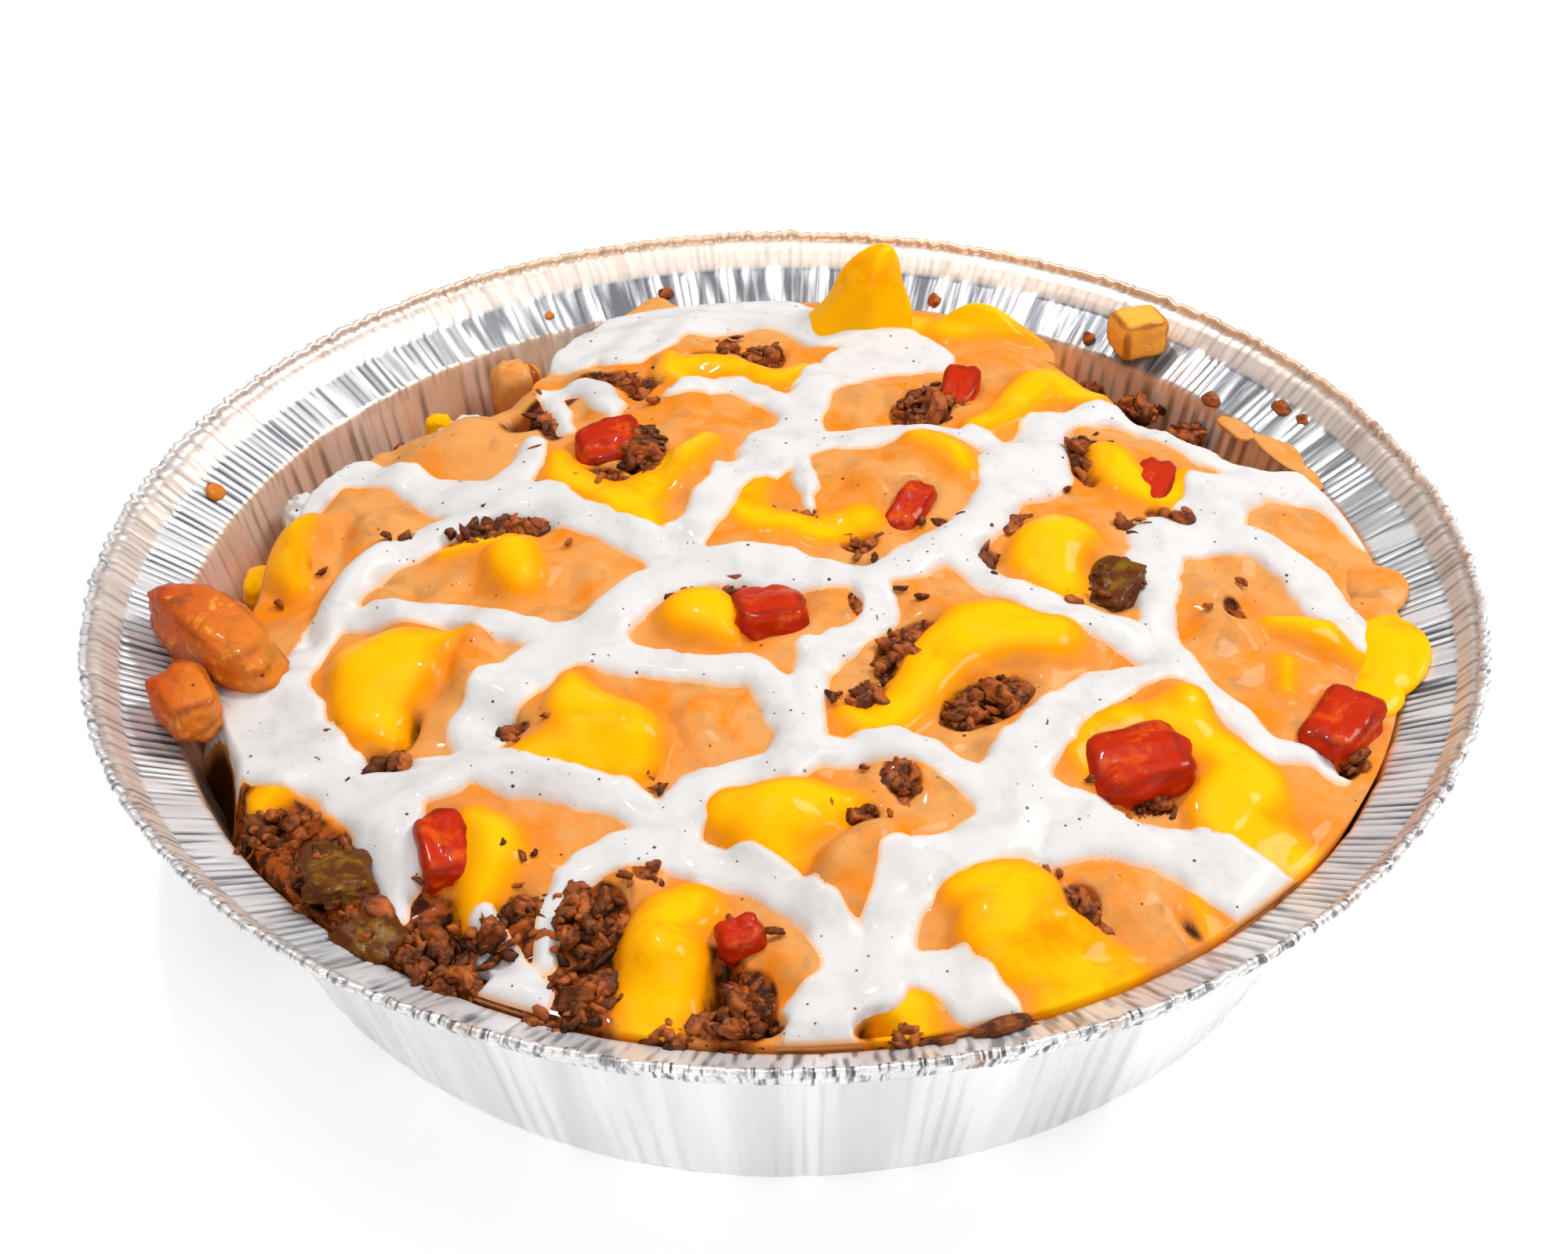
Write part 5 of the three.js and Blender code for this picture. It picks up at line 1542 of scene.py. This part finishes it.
class LedgeScraps(bpy.types.Operator):
    """Makes the potato pieces and the food that has run or fallen onto the ledge"""
    bl_idname = "fries.ledge_scraps"
    bl_label = "Potato and scraps on the ledge"

    def execute(self, context):
        settings = Settings(context.scene)
        for k, (name, (*size, turn)) in enumerate(POTATO.items()):
            cube = name == "potato_cube"
            squareness, rough = (5, 0.03) if cube else (2.8, 0.08)
            middle = node_middle(name)
            part = chunk_part(size, squareness, middle, turn, rough, SEEDS["potato"] + k, pitch=1.0)
            toward_food = ease((part[0][:, 0] - middle[0]) / size[0] + 0.5)
            part[3]["pale"] = np.full(len(part[0]), 1.0) if cube else 0.4 * toward_food
            make_piece(settings, name + "_fried", [part], potato_finish, (name,))
        sauce = []
        for kind, places, cheese in (("cheese_on_ledge", CHEESE_ON_LEDGE, ALL_CHEESE),
                                     ("orange_on_ledge", ORANGE_ON_LEDGE, NO_CHEESE)):
            sauce += [ledge_part(*place, SEEDS[kind] + k, cheese) for k, place in enumerate(places)]
        for k, (*place, turn, cheese) in enumerate(SAUCE_IN_GAPS):
            points, quads, caps, values = chunk_part(place[3:], 3.2, place[:3], turn, 0.05,
                                                     SEEDS["sauce_in_gaps"] + k)
            sauce.append((held(points), quads, caps, {**values, **each(points, cheese=cheese)}))
        make_piece(settings, "sauce_on_ledge", sauce, sauce_finish)
        ranch = [chunk_part(place[3:], 2.3, place[:3], turn, 0.1, SEEDS["ranch_in_gaps"] + k)
                 for k, (*place, turn) in enumerate(RANCH_IN_GAPS)]
        make_piece(settings, "ranch_in_gaps", held_parts(ranch), ranch_finish)
        for name, places, finish, slot in (("potato_crumbs", POTATO_CRUMBS, potato_finish, "potato"),
                                           ("beef_crumbs", BEEF_CRUMBS, beef_finish, "beef")):
            crumbs = [ledge_part(*place, SEEDS[name] + k) for k, place in enumerate(places)]
            make_piece(settings, name, crumbs, finish)
        parts = []
        for k, place in enumerate(BEEF_IN_GAPS):
            parts += beef_cluster(np.array(place[:3]), place[3:], 60 * draw(k), SEEDS["beef_in_gaps"] + k)
        make_piece(settings, "beef_in_gaps", held_parts(parts), beef_finish)
        return {"FINISHED"}


class StudioStage(bpy.types.Operator):
    """Makes the floor, the lights and the camera"""
    bl_idname = "fries.stage"
    bl_label = "Stage"

    def execute(self, context):
        scene = context.scene
        settings = Settings(scene)
        u, v = disc_map(FLOOR_CELLS)
        low = np.full_like(u, -FLOOR_DROP)
        points = np.stack([u * FLOOR_RADIUS, v * FLOOR_RADIUS, low], -1).reshape(-1, 3)
        quads = grid_quads(FLOOR_CELLS + 1, FLOOR_CELLS + 1)[:, [0, 3, 2, 1]]
        floor = build_mesh("pale_floor", points, quads)
        floor.data.materials.append(floor_finish(settings))
        world = bpy.data.worlds.new("studio")
        world.use_nodes = True
        room = world.node_tree.nodes["Background"].inputs
        room["Color"].default_value = (1, 1, 1, 1)
        room["Strength"].default_value = ROOM_LIGHT
        scene.world = world
        for name, (place, size, power) in LAMPS.items():
            light = bpy.data.lights.new(name, "AREA")
            light.size = size
            light.energy = power
            lamp = bpy.data.objects.new(name, light)
            lamp.location = place
            lamp.rotation_euler = (-Vector(place)).to_track_quat("-Z", "Y").to_euler()
            scene.collection.objects.link(lamp)
        lens = bpy.data.cameras.new("photograph")
        lens.sensor_width = SENSOR
        lens.lens = CAMERA_LENS
        camera = bpy.data.objects.new("photograph", lens)
        back = Vector((0, -math.cos(CAMERA_ELEVATION), math.sin(CAMERA_ELEVATION)))
        camera.rotation_mode = "QUATERNION"
        camera.location = (Vector(CAMERA_TARGET) + back * CAMERA_DISTANCE) * MM
        look = (-back).to_track_quat("-Z", "Y").to_matrix()
        camera.rotation_quaternion = (look @ Matrix.Rotation(CAMERA_ROLL, 3, "Z")).to_quaternion()
        scene.collection.objects.link(camera)
        scene.camera = camera
        scene.view_settings.view_transform = "Standard"
        return {"FINISHED"}


OPERATORS = (FoilPan, SaucedHeap, RanchDrizzle, DicedVegetables, CrumbledBeef, LedgeScraps, StudioStage)


class FriesPanel(bpy.types.Panel):
    """Lists the steps that build the dish"""
    bl_idname = "VIEW3D_PT_fries"
    bl_label = "Dish of french fries"
    bl_space_type = "VIEW_3D"
    bl_region_type = "UI"
    bl_category = "Fries"

    def draw(self, context):
        for operator in OPERATORS:
            self.layout.operator(operator.bl_idname)
        for group in (context.scene.fries_sizes, context.scene.fries_colours):
            box = self.layout.box()
            for key in group.bl_rna.properties.keys():
                if key not in {"rna_type", "name"}:
                    box.prop(group, key)


CLASSES = (FriesSizes, FriesColours, *OPERATORS, FriesPanel)


def register():
    for made in CLASSES:
        bpy.utils.register_class(made)
    bpy.types.Scene.fries_sizes = bpy.props.PointerProperty(type=FriesSizes)
    bpy.types.Scene.fries_colours = bpy.props.PointerProperty(type=FriesColours)


def unregister():
    del bpy.types.Scene.fries_colours
    del bpy.types.Scene.fries_sizes
    for made in reversed(CLASSES):
        bpy.utils.unregister_class(made)


def main():
    """Registers the add-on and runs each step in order."""
    register()
    for operator in OPERATORS:
        step = getattr(bpy.ops.fries, operator.bl_idname.split(".")[1])
        if step() != {"FINISHED"}:
            raise RuntimeError(operator.bl_label + " was not made")


if __name__ == "__main__":
    main()
